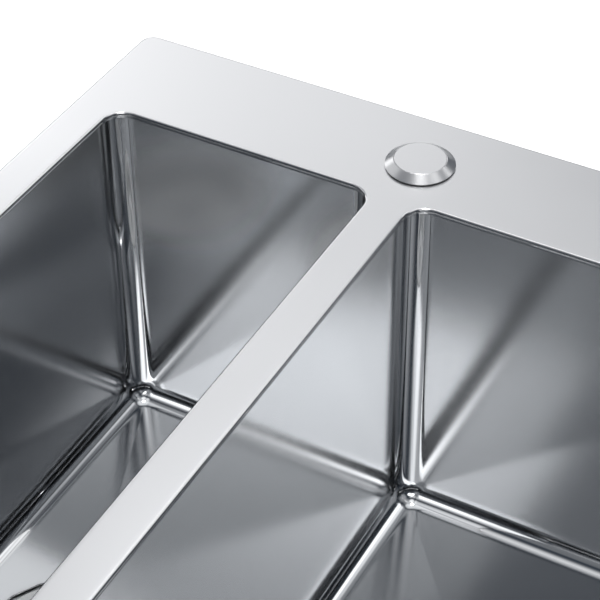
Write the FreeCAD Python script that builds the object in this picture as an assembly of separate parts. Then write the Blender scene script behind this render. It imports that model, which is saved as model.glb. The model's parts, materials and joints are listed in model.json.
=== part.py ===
import FreeCAD, Part
import math
import os

# One and a half bowl inset sink with a push-button pop-up waste.
# Frame: X to the right, Y to the rear, Z up, millimetres.
# Origin: middle of the sink's plan, on the worktop that the rim rests on.

V = FreeCAD.Vector
UP = V(0, 0, 1)

# Deck plate and its openings
half_bowl_width = 165.0
main_bowl_width = 343.0
bowl_length = 400.0
side_rim = 24.0
front_rim = 25.0
rear_ledge = 75.0
divider_width = 24.0
deck_thickness = 3.0
deck_corner_radius = 8.0
deck_edge_ease = 0.6
tap_hole_radius = 17.5
ledge_hole_setback = 33.0

# Sealing strip under the rim
rim_seal_thickness = 1.5
rim_seal_width = 8.0
rim_seal_inset = 1.0

# Folded and welded bowls
bowl_depth = 220.0
bowl_sheet = 1.2
bowl_corner_radius = 13.0
bowl_floor_radius = 12.0
bowl_setback = 0.5
bowl_flange = 5.0
floor_fall = 3.0
recess_depth = 5.0
recess_gap = 2.0

# Rubber pads against drumming, stuck to the outside of the bowl walls
pad_width = 110.0
pad_height = 95.0
pad_thickness = 2.0
pad_corner_radius = 8.0
pad_drop = 75.0

# Swivel clamps: weld stud, claw and wing nut
clamp_spread_x = 180.0
clamp_spread_y = 150.0
stud_radius = 2.5
stud_length = 60.0
claw_width = 8.0
claw_sheet = 1.5
claw_leg_out = 5.0
claw_reach = 26.0
claw_grip = 44.0
claw_tooth = 3.0
claw_bend_radius = 1.2
wing_nut_radius = 4.5
wing_nut_height = 5.0
wing_span = 11.0
wing_thickness = 2.0
wing_drop = 9.0
wing_root = 1.7
wings = 2

# Strainer wastes
waste_lip_radius = 56.5
waste_lip_thickness = 1.5
waste_hole_radius = 45.0
waste_sheet = 1.2
upper_seal_thickness = 1.0
lower_seal_thickness = 3.0
throat_radius = 44.0
throat_drop = 6.0
cup_radius = 40.8
cup_depth = 30.0
drain_slots = 6
drain_slot_radius = 6.5
drain_slot_ring = 17.5
waste_screw_radius = 6.0
waste_screw_head_radius = 10.0
waste_screw_head_height = 3.0
waste_body_wall = 3.0
waste_body_flange = 5.0
waste_body_ribs = 8
body_rib_thickness = 3.0
body_rib_depth = 18.0
hub_radius = 10.0
hub_drop = 10.0
hub_height = 8.0
hub_rib_thickness = 4.0
hub_spokes = 4
chamber_floor_gap = 2.4
chamber_cone_height = 9.0
tail_radius = 20.0
tail_wall = 2.7
tail_length = 33.0

# Strainer baskets
basket_sheet = 0.8
basket_height = 22.0
basket_taper = 2.0
basket_rim_gap = 0.8
basket_rim_height = 1.6
basket_slots = 18
basket_slot_width = 3.0
basket_slot_height = 11.0
basket_slot_rise = 5.5
basket_bottom_holes = 12
basket_hole_radius = 2.2
basket_hole_ring = 19.0
basket_seal_inner_radius = 25.0
basket_seal_thickness = 3.3
basket_seal_outer_radius = 35.0
knob_radius = 9.0
knob_post_radius = 3.5
knob_height = 20.0
knob_crown = 5.0
knob_top_radius = 7.2
knob_edge = 1.7

# Pop-up lift: stem, lever and its gland in the main waste
lift_stem_radius = 3.0
plug_lift = 10.0
lever_arm = 24.0
lever_radius = 2.5
lever_tip = 4.0
lever_bore_gap = 0.3
lever_boss_radius = 9.0
lever_boss_length = 12.0
gland_nut_radius = 11.0
gland_nut_length = 9.0
gland_pocket_radius = 6.0
gland_pocket_depth = 5.0
lever_seal_gap = 0.3
crank_gap = 4.0
crank_thickness = 3.0
crank_length = 28.0
crank_eye_radius = 5.0
crank_hole_radius = 1.6
cable_bracket_thickness = 4.0
cable_free_length = 16.0
cable_stop_radius = 5.0
cable_stop_length = 18.0
cable_bore_radius = 2.2

# Push button on the rear ledge
button_outer_radius = 19.5
button_flat_radius = 14.5
button_height = 4.7
button_side_height = 1.3
button_groove = 0.35
button_seal_height = 0.5
button_travel = 4.0
button_gap = 0.3
button_edge_ease = 0.35
cap_wall = 1.6
cap_top = 2.2
cap_skirt = 10.0
sleeve_wall = 1.9
sleeve_hole_gap = 0.3
sleeve_engage = 2.0
sleeve_depth = 36.0
sleeve_floor = 3.0
button_stem_radius = 3.0
button_stem_past = 10.0
spring_wire_radius = 0.8
spring_radius = 8.5
spring_turns = 4
back_washer_radius = 24.0
back_washer_thickness = 1.5
back_nut_flat = 23.0
back_nut_height = 8.0
cable_gland_radius = 6.5
stem_spare = 5.0
cable_gland_floor = 3.0

# Overflow in the rear wall of the main bowl
overflow_offset_x = 110.0
overflow_drop = 45.0
overflow_hole_radius = 19.0
overflow_cover_radius = 27.0
overflow_cover_height = 6.0
overflow_cover_sheet = 1.0
overflow_slots = 8
overflow_slot_width = 9.0
overflow_slot_height = 3.0
overflow_screw_radius = 2.5
overflow_screw_head = 5.0
overflow_screw_crown = 3.5
overflow_seal_thickness = 2.0
overflow_flange_radius = 27.0
overflow_flange_thickness = 4.0
overflow_mouth_radius = 16.0
overflow_pipe_radius = 10.2
overflow_pipe_wall = 2.0
overflow_socket_wall = 2.6
overflow_socket_depth = 16.0
overflow_elbow_drop = 40.0
overflow_bend = 27.0
overflow_bar_width = 8.0

# Waste pipework
socket_wall = 3.0
socket_depth = 19.0
branch_drop = 27.0
branch_reach = 72.0
pipe_wall = 2.0
elbow_bend = 26.0
outlet_length = 60.0
spigot_radius = 21.5
spigot_length = 40.0
slip_nut_radius = 27.5
slip_nut_height = 17.0
slip_nut_lip = 3.0
slip_nut_lobes = 8
slip_nut_lobe_radius = 3.0
slip_nut_lobe_sink = 1.0
slip_seal_height = 4.0

# Clearances
slide_gap = 0.3
thread_gap = 0.2
rest_gap = 0.3
socket_gap = 0.3
clamp_gap = 0.6

# Directions of the clamps, in degrees from the right
RIGHT = 0
REAR = 90
LEFT = 180
FRONT = 270
QUARTER_TURN = 90

# Levels and places worked out from the sizes above
deck_width = 2 * side_rim + half_bowl_width + divider_width + main_bowl_width
deck_length = front_rim + bowl_length + rear_ledge
deck_under = rim_seal_thickness
deck_top = deck_under + deck_thickness
floor_z = deck_top - bowl_depth
deck_plan = (-deck_width / 2, deck_width / 2, -deck_length / 2, deck_length / 2)
bowl_front_y = deck_plan[2] + front_rim
bowl_rear_y = bowl_front_y + bowl_length
half_left_x = deck_plan[0] + side_rim
main_left_x = half_left_x + half_bowl_width + divider_width
half_plan = (half_left_x, half_left_x + half_bowl_width, bowl_front_y, bowl_rear_y)
main_plan = (main_left_x, main_left_x + main_bowl_width, bowl_front_y, bowl_rear_y)
half_waste = V((half_plan[0] + half_plan[1]) / 2, (bowl_front_y + bowl_rear_y) / 2, 0)
main_waste = V((main_plan[0] + main_plan[1]) / 2, (bowl_front_y + bowl_rear_y) / 2, 0)
ledge_hole_y = bowl_rear_y + ledge_hole_setback
button_spot = V((half_plan[1] + main_plan[0]) / 2, ledge_hole_y, 0)
tap_spot = V(main_waste.x, ledge_hole_y, 0)
wall_outside = bowl_setback + bowl_sheet

sleeve_inner = button_flat_radius + button_gap
sleeve_outer = sleeve_inner + sleeve_wall
button_hole_radius = sleeve_outer + sleeve_hole_gap
sleeve_floor_top = deck_top - sleeve_depth

seat_z = floor_z - recess_depth
recess_radius = waste_lip_radius + recess_gap
lip_bottom = seat_z + upper_seal_thickness
lip_top = lip_bottom + waste_lip_thickness
cup_floor = lip_top - cup_depth
waste_sheet_under = seat_z - bowl_sheet
body_top = waste_sheet_under - lower_seal_thickness
body_radius = cup_radius + waste_sheet + waste_body_wall / 2
hub_top = cup_floor - waste_sheet - hub_drop
hub_bottom = hub_top - hub_height
lift_stem_end = hub_bottom - plug_lift - lever_radius - slide_gap
lever_z = lift_stem_end - rest_gap - lever_radius
chamber_floor = lever_z - lever_radius - chamber_floor_gap
tail_top = chamber_floor - chamber_cone_height
tail_end = tail_top - tail_length
basket_bottom = cup_floor + rest_gap + basket_seal_thickness
stem_above_lever = lever_radius + rest_gap + lift_stem_radius
stem_raised = stem_above_lever + plug_lift
lever_lean = math.acos(stem_above_lever / math.hypot(stem_raised, lever_arm))
lever_angle = lever_lean - math.atan2(lever_arm, stem_raised)
crank_swing = crank_length * math.sin(lever_angle)
cable_bracket_reach = crank_swing + crank_eye_radius + cable_free_length + cable_stop_length / 2
cable_gland_length = button_stem_past + button_travel + stem_spare + cable_gland_floor

socket_radius = tail_radius + socket_gap
socket_outer = socket_radius + socket_wall
socket_shoulder = tail_end - socket_gap
socket_top = socket_shoulder + socket_depth
branch_z = socket_shoulder - branch_drop
outlet_end = branch_z - outlet_length

overflow_spot = V(main_waste.x + overflow_offset_x, bowl_rear_y + bowl_setback, deck_top - overflow_drop)
overflow_tube_radius = overflow_pipe_radius + socket_gap
overflow_tube_outer = overflow_tube_radius + overflow_socket_wall
overflow_run = overflow_flange_thickness + 2 * overflow_tube_outer
overflow_branch_z = (hub_top + hub_bottom) / 2


def export(name, shape):
    """Write one piece to its own file."""
    shape.exportStep("parts/" + name + ".step")


def grown(plan, by):
    """Plan rectangle moved outwards by one distance on every side."""
    return (plan[0] - by, plan[1] + by, plan[2] - by, plan[3] + by)


def plan_face(plan, radius, z):
    """Flat rectangle with round corners."""
    x0, x1, y0, y1 = plan
    bulge = radius * (1 - math.sqrt(0.5))
    sides = [
        (V(x0 + radius, y0, z), V(x1 - radius, y0, z)),
        (V(x1, y0 + radius, z), V(x1, y1 - radius, z)),
        (V(x1 - radius, y1, z), V(x0 + radius, y1, z)),
        (V(x0, y1 - radius, z), V(x0, y0 + radius, z)),
    ]
    middles = [
        V(x1 - bulge, y0 + bulge, z),
        V(x1 - bulge, y1 - bulge, z),
        V(x0 + bulge, y1 - bulge, z),
        V(x0 + bulge, y0 + bulge, z),
    ]
    edges = []
    for index, (start, end) in enumerate(sides):
        following = sides[(index + 1) % len(sides)][0]
        edges.append(Part.LineSegment(start, end).toShape())
        edges.append(Part.Arc(end, middles[index], following).toShape())
    return Part.Face(Part.Wire(edges))


def block(plan, radius, bottom, top):
    """Upright block with round corners in plan."""
    return plan_face(plan, radius, bottom).extrude(V(0, 0, top - bottom))


def edges_at(shape, z):
    """Edges that lie flat at one height."""
    flat = []
    for edge in shape.Edges:
        box = edge.BoundBox
        if abs(box.ZMin - z) < 1e-6 and abs(box.ZMax - z) < 1e-6:
            flat.append(edge)
    return flat


def tub(plan, radius, bottom, top, foot_radius):
    """Block whose bottom edges are rounded all the way round."""
    solid = block(plan, radius, bottom, top)
    return solid.makeFillet(foot_radius, edges_at(solid, bottom))


def pyramid(plan, z, apex):
    """Shallow pyramid that hangs from a flat rectangle."""
    x0, x1, y0, y1 = plan
    base = [V(x0, y0, z), V(x1, y0, z), V(x1, y1, z), V(x0, y1, z)]
    faces = [Part.Face(Part.makePolygon(base + base[:1]))]
    for start, end in zip(base, base[1:] + base[:1]):
        faces.append(Part.Face(Part.makePolygon([start, end, apex, start])))
    return Part.Solid(Part.makeShell(faces))


def turned(profile):
    """Solid turned about Z from a closed outline of (radius, height) points."""
    corners = [V(radius, 0, z) for radius, z in profile]
    outline = Part.makePolygon(corners + corners[:1])
    return Part.Face(outline).revolve(V(0, 0, 0), UP, 360)


def ring(inner, outer, bottom, top):
    """Plain ring about Z."""
    return turned([(inner, bottom), (outer, bottom), (outer, top), (inner, top)])


def drum(radius, bottom, top):
    """Plain cylinder about Z."""
    return Part.makeCylinder(radius, top - bottom, V(0, 0, bottom))


def rod(radius, start, end):
    """Round bar between two points."""
    run = end - start
    return Part.makeCylinder(radius, run.Length, start, run)


def around(shape, count):
    """Copies of a shape spaced evenly about Z."""
    copies = []
    for index in range(count):
        copies.append(shape.copy().rotate(V(0, 0, 0), UP, 360.0 * index / count))
    return copies


def hexagon(flat, bottom, top):
    """Hexagonal prism about Z, sized by the distance from its middle to a flat."""
    corner = flat / math.cos(math.pi / 6)
    points = []
    for index in range(7):
        angle = math.pi / 3 * index
        points.append(V(corner * math.cos(angle), corner * math.sin(angle), bottom))
    return Part.Face(Part.makePolygon(points)).extrude(V(0, 0, top - bottom))


def side_profile(points, thickness):
    """Plate cut to an outline in the XZ plane, centred on Y."""
    corners = [V(x, -thickness / 2, z) for x, z in points]
    outline = Part.makePolygon(corners + corners[:1])
    return Part.Face(outline).extrude(V(0, thickness, 0))


def bent_path(points, bend):
    """Path of straight runs joined by arcs of one radius."""
    edges = []
    start = points[0]
    for before, corner, after in zip(points, points[1:], points[2:]):
        inward = (before - corner).normalize()
        onward = (after - corner).normalize()
        half_turn = inward.getAngle(onward) / 2
        cut = bend / math.tan(half_turn)
        first = corner + inward * cut
        last = corner + onward * cut
        centre = corner + (inward + onward).normalize() * (bend / math.sin(half_turn))
        middle = centre + (corner - centre).normalize() * bend
        edges.append(Part.LineSegment(start, first).toShape())
        edges.append(Part.Arc(first, middle, last).toShape())
        start = last
    edges.append(Part.LineSegment(start, points[-1]).toShape())
    return Part.Wire(edges)


def swept(points, bend, radius):
    """Round bar that follows a bent path."""
    path = bent_path(points, bend)
    circle = Part.Wire(Part.Circle(points[0], points[1] - points[0], radius).toShape())
    return path.makePipeShell([circle], True, False)


def tube(points, bend, outer, inner):
    """Bent tube of constant bore."""
    return swept(points, bend, outer).cut(swept(points, bend, inner))


def facing_rear(shape, spot):
    """Turn a shape built about Z so that its axis points to the rear, and place it."""
    return shape.rotate(V(0, 0, 0), V(1, 0, 0), -90).translate(spot)


def facing_right(shape, spot):
    """Turn a shape built about Z so that its axis points to the right, and place it."""
    return shape.rotate(V(0, 0, 0), V(0, 1, 0), 90).translate(spot)


def facing_left(shape, spot):
    """Turn a shape built about Z so that its axis points to the left, and place it."""
    return shape.rotate(V(0, 0, 0), V(0, 1, 0), -90).translate(spot)


# Deck and bowls
def deck_plate():
    """Flat plate with both mouths, the button hole and the tap hole."""
    plate = block(deck_plan, deck_corner_radius, deck_under, deck_top)
    for plan in (half_plan, main_plan):
        plate = plate.cut(block(plan, bowl_corner_radius, deck_under, deck_top))
    plate = plate.makeFillet(deck_edge_ease, edges_at(plate, deck_top))
    for spot, radius in ((button_spot, button_hole_radius), (tap_spot, tap_hole_radius)):
        plate = plate.cut(drum(radius, deck_under, deck_top).translate(spot))
    return plate


def bowl(plan, waste):
    """Sheet bowl with round corners, a floor that falls to the waste, and a welding flange."""
    inner_plan = grown(plan, bowl_setback)
    inner_radius = bowl_corner_radius + bowl_setback
    skin_plan = grown(inner_plan, bowl_sheet)
    skin_radius = inner_radius + bowl_sheet
    skin_foot = bowl_floor_radius + bowl_sheet
    skin = tub(skin_plan, skin_radius, floor_z - bowl_sheet, deck_under, skin_foot)
    cavity = tub(inner_plan, inner_radius, floor_z, deck_top, bowl_floor_radius)
    flange_plan = grown(inner_plan, bowl_flange)
    flange = block(flange_plan, inner_radius + bowl_flange, deck_under - bowl_sheet, deck_under)
    floor_plan = grown(inner_plan, -bowl_floor_radius)
    fall = pyramid(floor_plan, floor_z, waste + V(0, 0, floor_z - floor_fall))
    under_fall = fall.copy().translate(V(0, 0, -bowl_sheet))
    recess = drum(recess_radius, seat_z, floor_z + bowl_sheet).translate(waste)
    pan = drum(recess_radius + bowl_sheet, waste_sheet_under, floor_z).translate(waste)
    hole = drum(waste_hole_radius, waste_sheet_under, seat_z).translate(waste)
    outside = skin.fuse([flange, under_fall, pan])
    return outside.cut(cavity.fuse([fall, recess, hole])).removeSplitter()


def main_bowl():
    """The large bowl, with its overflow hole in the rear wall."""
    reach = bowl_sheet + bowl_setback
    start = overflow_spot - V(0, reach, 0)
    hole = rod(overflow_hole_radius, start, overflow_spot + V(0, 2 * reach, 0))
    return bowl(main_plan, main_waste).cut(hole)


def rim_seal():
    """Flat sealing strip that the rim rests on."""
    outer = grown(deck_plan, -rim_seal_inset)
    inner = grown(outer, -rim_seal_width)
    outer_radius = deck_corner_radius - rim_seal_inset
    strip = block(outer, outer_radius, 0, deck_under)
    return strip.cut(block(inner, outer_radius / 2, 0, deck_under))


def wall_pad(spot, along):
    """One rubber pad, upright, with its back face at the spot and its width along X or Y."""
    lying = block((-pad_width / 2, pad_width / 2, 0, pad_height), pad_corner_radius, 0, pad_thickness)
    upright = lying.rotate(V(0, 0, 0), V(1, 0, 0), 90)
    if along == "y":
        upright = upright.rotate(V(0, 0, 0), UP, 90)
    return upright.translate(spot)


def sound_pads(plan, waste, side_x):
    """Pads on the front, the rear and one side wall of a bowl."""
    low = deck_top - pad_drop - pad_height
    front = wall_pad(V(waste.x, plan[2] - wall_outside, low), "x")
    rear = wall_pad(V(waste.x, plan[3] + wall_outside + pad_thickness, low), "x")
    side = wall_pad(V(side_x, waste.y, low), "y")
    return Part.makeCompound([front, rear, side])


# Swivel clamps
def clamp_places():
    """Stud places around the rim, each with the direction that points outwards."""
    sweep = math.hypot(claw_leg_out, claw_width / 2)
    offset = wall_outside + sweep + clamp_gap
    places = []
    for y in (-clamp_spread_y, clamp_spread_y):
        places.append((V(half_plan[0] - offset, y, 0), LEFT))
        places.append((V(main_plan[1] + offset, y, 0), RIGHT))
    for x in (-clamp_spread_x, clamp_spread_x):
        places.append((V(x, half_plan[2] - offset, 0), FRONT))
        places.append((V(x, deck_plan[3] - side_rim + offset, 0), REAR))
    return places


def parked(shape, place):
    """Put a clamp piece at its stud, turned a quarter turn back from outwards."""
    spot, outward = place
    return shape.copy().rotate(V(0, 0, 0), UP, outward - QUARTER_TURN).translate(spot)


def clamp_stud():
    """Weld stud under the deck."""
    return drum(stud_radius, deck_under - stud_length, deck_under)


def clamp_claw():
    """Bent strip with a heel leg, a hole for the stud and a biting tooth."""
    top = deck_under - bowl_sheet - rest_gap
    arm_top = -claw_grip
    arm_bottom = arm_top - claw_sheet
    leg_in = claw_leg_out - claw_sheet
    outline = [
        (-claw_leg_out, top),
        (-leg_in, top),
        (-leg_in, arm_top),
        (claw_reach - claw_sheet, arm_top),
        (claw_reach - claw_sheet / 2, arm_top + claw_tooth),
        (claw_reach, arm_top + claw_tooth),
        (claw_reach, arm_bottom),
        (-claw_leg_out, arm_bottom),
    ]
    claw = side_profile(outline, claw_width)
    bends = []
    for edge in claw.Edges:
        middle = edge.CenterOfMass
        if abs(middle.z - arm_bottom) < 1e-6 and abs(edge.Length - claw_width) < 1e-6:
            bends.append(edge)
    claw = claw.makeFillet(claw_bend_radius, bends)
    return claw.cut(drum(stud_radius + slide_gap, arm_bottom, arm_top))


def wing_nut():
    """Threaded hub with two wings that point down."""
    top = -claw_grip - claw_sheet - rest_gap
    bottom = top - wing_nut_height
    nut = drum(wing_nut_radius, bottom, top)
    outline = [
        (stud_radius + thread_gap, top - wing_root),
        (wing_nut_radius, top - wing_root),
        (wing_span, top - wing_drop + wing_thickness),
        (wing_span, top - wing_drop),
        (wing_span - 2 * wing_thickness, top - wing_drop),
        (stud_radius + thread_gap, bottom),
    ]
    wing = side_profile(outline, wing_thickness)
    nut = nut.fuse(around(wing, wings))
    return nut.cut(drum(stud_radius + thread_gap, top - wing_drop, top))


# Strainer wastes
def waste_flange():
    """Dished strainer cup with its lip and drain openings."""
    wall = waste_sheet
    cup = turned([
        (waste_screw_radius + thread_gap, cup_floor - wall),
        (cup_radius + wall, cup_floor - wall),
        (cup_radius + wall, lip_bottom - throat_drop),
        (throat_radius + wall, lip_bottom),
        (waste_lip_radius, lip_bottom),
        (waste_lip_radius, lip_top - waste_lip_thickness / 2),
        (waste_lip_radius - waste_lip_thickness / 2, lip_top),
        (throat_radius, lip_top),
        (cup_radius, lip_top - throat_drop),
        (cup_radius, cup_floor),
        (waste_screw_radius + thread_gap, cup_floor),
    ])
    opening = drum(drain_slot_radius, cup_floor - wall, cup_floor)
    opening = opening.translate(V(drain_slot_ring, 0, 0))
    return cup.cut(around(opening, drain_slots))


def upper_seal():
    """Thin washer between the cup's lip and the bowl."""
    inner = waste_hole_radius + upper_seal_thickness
    return ring(inner, waste_lip_radius - upper_seal_thickness, seat_z, lip_bottom)


def lower_seal():
    """Thick washer between the bowl and the waste body."""
    inner = waste_hole_radius + upper_seal_thickness
    return ring(inner, waste_lip_radius - upper_seal_thickness, body_top, waste_sheet_under)


def waste_screw(bore):
    """Fixing screw that clamps the cup to the body, hollow where a stem runs through it."""
    head_top = cup_floor + waste_screw_head_height
    screw = drum(waste_screw_radius, hub_bottom, cup_floor)
    head = hexagon(waste_screw_head_radius * math.cos(math.pi / 6), cup_floor, head_top)
    screw = screw.fuse(head)
    if bore > 0:
        screw = screw.cut(drum(bore, hub_bottom, head_top))
    return screw


def waste_body():
    """Moulded waste body: clamping flange, ribs, screw hub, lever chamber and outlet tail."""
    wall = waste_body_wall
    outer = body_radius + wall
    flange_bottom = body_top - waste_body_flange
    bore = tail_radius - tail_wall
    shell = turned([
        (body_radius, body_top),
        (waste_lip_radius, body_top),
        (waste_lip_radius, flange_bottom),
        (outer, flange_bottom),
        (outer, chamber_floor - wall / 2),
        (tail_radius, tail_top - wall / 2),
        (tail_radius, tail_end),
        (bore, tail_end),
        (bore, tail_top),
        (body_radius, chamber_floor),
    ])
    gusset = side_profile([
        (body_radius + wall / 2, flange_bottom),
        (waste_lip_radius - wall, flange_bottom),
        (outer, flange_bottom - body_rib_depth),
        (body_radius + wall / 2, flange_bottom - body_rib_depth),
    ], body_rib_thickness)
    spoke = Part.makeBox(body_radius + wall / 2, hub_rib_thickness, hub_height)
    spoke = spoke.translate(V(0, -hub_rib_thickness / 2, hub_bottom))
    spoke = spoke.rotate(V(0, 0, 0), UP, 180 / hub_spokes)
    spider = [drum(hub_radius, hub_bottom, hub_top)] + around(spoke, hub_spokes)
    shell = shell.fuse(around(gusset, waste_body_ribs) + spider)
    return shell.cut(drum(waste_screw_radius + thread_gap, hub_bottom, hub_top))


def main_waste_body():
    """Waste body with the lever boss to the rear and the overflow socket to the right."""
    wall_y = math.sqrt(body_radius ** 2 - lever_arm ** 2)
    boss_start = V(-lever_arm, wall_y, lever_z)
    boss_end = V(-lever_arm, lever_boss_end(), lever_z)
    boss = rod(lever_boss_radius, boss_start, boss_end)
    inside = drum(body_radius, chamber_floor, body_top)
    socket_end = V(overflow_socket_end(), 0, overflow_branch_z)
    socket = rod(overflow_tube_outer, V(body_radius, 0, overflow_branch_z), socket_end)
    body = waste_body().fuse([boss.cut(inside), socket.cut(inside)])
    lever_bore = rod(lever_radius + lever_bore_gap, V(-lever_arm, 0, lever_z), boss_end)
    pocket = rod(gland_pocket_radius, boss_end - V(0, gland_pocket_depth, 0), boss_end)
    shoulder = V(overflow_socket_end() - overflow_socket_depth, 0, overflow_branch_z)
    socket_bore = rod(overflow_tube_radius, shoulder, socket_end)
    port_start = V(body_radius - waste_body_wall, 0, overflow_branch_z)
    port = rod(overflow_pipe_radius - overflow_pipe_wall, port_start, socket_end)
    return body.cut([lever_bore, pocket, socket_bore, port])


def lever_boss_end():
    """Distance from the waste's middle to the outer face of the lever boss."""
    return math.sqrt((body_radius + waste_body_wall) ** 2 - lever_arm ** 2) + lever_boss_length


def overflow_socket_end():
    """Distance from the waste's middle to the mouth of the overflow socket."""
    return body_radius + waste_body_wall + overflow_socket_depth


# Strainer baskets
def basket():
    """Perforated strainer cup."""
    low = basket_bottom
    top = low + basket_height
    rim_radius = cup_radius - basket_rim_gap
    wall_top = rim_radius - basket_sheet
    wall_low = wall_top - basket_taper
    cup = turned([
        (0, low),
        (wall_low, low),
        (wall_top, top - basket_rim_height),
        (rim_radius, top - basket_rim_height),
        (rim_radius, top),
        (wall_top - basket_sheet, top),
        (wall_low - basket_sheet, low + basket_sheet),
        (0, low + basket_sheet),
    ])
    half_width = basket_slot_width / 2
    slot_low = low + basket_slot_rise
    outline = [
        V(0, -half_width, slot_low),
        V(0, half_width, slot_low),
        V(0, half_width, slot_low + basket_slot_height),
        V(0, -half_width, slot_low + basket_slot_height),
    ]
    slot = Part.Face(Part.makePolygon(outline + outline[:1])).extrude(V(rim_radius, 0, 0))
    slot = slot.cut(drum(wall_low - basket_taper, low, top))
    hole = drum(basket_hole_radius, low, low + basket_sheet).translate(V(basket_hole_ring, 0, 0))
    return cup.cut(around(slot, basket_slots) + around(hole, basket_bottom_holes))


def basket_seal():
    """Rubber ring under the basket that closes the drain openings."""
    return ring(basket_seal_inner_radius, basket_seal_outer_radius, cup_floor + rest_gap, basket_bottom)


def basket_knob():
    """Lifting knob on a post in the middle of the basket."""
    low = basket_bottom + basket_sheet
    top = low + knob_height
    neck = top - knob_crown
    return turned([
        (0, low),
        (knob_radius, low),
        (knob_radius, low + basket_sheet),
        (knob_post_radius, low + 2 * basket_sheet),
        (knob_post_radius, neck - knob_crown / 2),
        (knob_radius, neck),
        (knob_radius, top - knob_edge),
        (knob_top_radius, top),
        (0, top),
    ])


# Pop-up lift
def lift_stem():
    """Stem under the main basket that runs through the hollow screw, with a round end on the lever."""
    ball = lift_stem_end + lift_stem_radius
    end = Part.makeSphere(lift_stem_radius, V(0, 0, ball))
    return drum(lift_stem_radius, ball, basket_bottom).fuse(end)


def lift_lever():
    """Cranked lever: finger under the stem, spindle to the rear, and crank plate outside."""
    elbow = V(-lever_arm, 0, lever_z)
    crank_y = crank_face()
    finger = rod(lever_radius, elbow, V(lever_tip, 0, lever_z))
    spindle = rod(lever_radius, elbow, elbow + V(0, crank_y + crank_thickness, 0))
    corner = Part.makeSphere(lever_radius, elbow)
    hub = rod(crank_eye_radius, elbow + V(0, crank_y, 0), elbow + V(0, crank_y + crank_thickness, 0))
    eye = hub.copy().translate(V(0, 0, crank_length))
    web = Part.makeBox(2 * lever_radius, crank_thickness, crank_length)
    web = web.translate(elbow + V(-lever_radius, crank_y, 0))
    lever = finger.fuse([spindle, corner, hub, eye, web])
    hole_start = elbow + V(0, crank_y, crank_length)
    return lever.cut(rod(crank_hole_radius, hole_start, hole_start + V(0, crank_thickness, 0)))


def crank_face():
    """Distance from the waste's middle to the near face of the crank plate."""
    return lever_boss_end() + gland_nut_length + crank_gap


def lever_gland_nut():
    """Nut that closes the lever gland."""
    nut = hexagon(gland_nut_radius, 0, gland_nut_length)
    nut = nut.cut(drum(lever_radius + lever_bore_gap, 0, gland_nut_length))
    return facing_rear(nut, V(-lever_arm, lever_boss_end(), lever_z))


def lever_seal():
    """Packing ring in the gland pocket, pressed by the nut."""
    inner = lever_radius + lever_bore_gap
    packing = ring(inner, gland_pocket_radius - lever_seal_gap, 0, gland_pocket_depth)
    return facing_rear(packing, V(-lever_arm, lever_boss_end() - gland_pocket_depth, lever_z))


def cable_bracket():
    """Bracket on the lever boss that ends in the cable's stop."""
    near = lever_boss_end() - cable_bracket_thickness
    plate_plan = V(0, cable_bracket_thickness, 0)
    boss_hole = lever_boss_radius + thread_gap
    collar = boss_hole + cable_bracket_thickness
    start = V(-lever_arm, near, lever_z)
    tip = start + V(-cable_bracket_reach, 0, crank_length)
    side = V(-crank_length, 0, -cable_bracket_reach).normalize() * cable_stop_radius
    outline = [start + side, tip + side, tip - side, start - side]
    arm = Part.Face(Part.makePolygon(outline + outline[:1])).extrude(plate_plan)
    stop_y = crank_face() + crank_thickness / 2
    stop = rod(cable_stop_radius, V(tip.x, stop_y, tip.z) - V(cable_stop_length / 2, 0, 0),
               V(tip.x, stop_y, tip.z) + V(cable_stop_length / 2, 0, 0))
    bridge = rod(cable_stop_radius, tip, V(tip.x, stop_y, tip.z))
    bracket = rod(collar, start, start + plate_plan).fuse([arm, bridge, stop])
    bore = rod(cable_bore_radius, V(tip.x - cable_stop_length, stop_y, tip.z),
               V(tip.x + cable_stop_length, stop_y, tip.z))
    return bracket.cut([rod(boss_hole, start, start + plate_plan), bore])


# Push button
def button_bezel():
    """Bevelled ring around the button."""
    low = deck_top + button_seal_height
    side_top = deck_top + button_side_height
    top = deck_top + button_height
    pocket = sleeve_outer + thread_gap
    pocket_top = deck_top + sleeve_engage + rest_gap
    middle = (low + side_top) / 2
    inset = button_outer_radius - button_groove
    return turned([
        (pocket, low),
        (inset, low),
        (button_outer_radius, low + button_groove),
        (button_outer_radius, middle),
        (inset, middle),
        (inset, side_top - button_groove),
        (button_outer_radius, side_top - button_groove),
        (button_outer_radius, side_top),
        (sleeve_inner + button_edge_ease, top),
        (sleeve_inner, top - button_edge_ease),
        (sleeve_inner, pocket_top),
        (pocket, pocket_top),
    ])


def button_seal():
    """Thin washer between the bezel and the deck."""
    return ring(button_hole_radius, button_outer_radius - button_groove, deck_top, deck_top + button_seal_height)


def button_cap():
    """Flat button, a shallow cup that slides in the sleeve."""
    top = deck_top + button_height
    skirt_end = top - cap_skirt
    ease = button_edge_ease
    inner = button_flat_radius - cap_wall
    return turned([
        (0, top - cap_top),
        (inner, top - cap_top),
        (inner, skirt_end),
        (button_flat_radius, skirt_end),
        (button_flat_radius, top - ease),
        (button_flat_radius - ease, top),
        (0, top),
    ])


def button_stem():
    """Stem from the button down to the cable end."""
    end = sleeve_floor_top - sleeve_floor - button_stem_past
    return drum(button_stem_radius, end, deck_top + button_height - cap_top)


def button_sleeve():
    """Threaded sleeve through the deck, with a floor that guides the stem."""
    shell = turned([
        (sleeve_inner, deck_top + sleeve_engage),
        (sleeve_inner, sleeve_floor_top),
        (button_stem_radius + slide_gap, sleeve_floor_top),
        (button_stem_radius + slide_gap, sleeve_floor_top - sleeve_floor),
        (sleeve_outer, sleeve_floor_top - sleeve_floor),
        (sleeve_outer, deck_top + sleeve_engage),
    ])
    return shell


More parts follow.
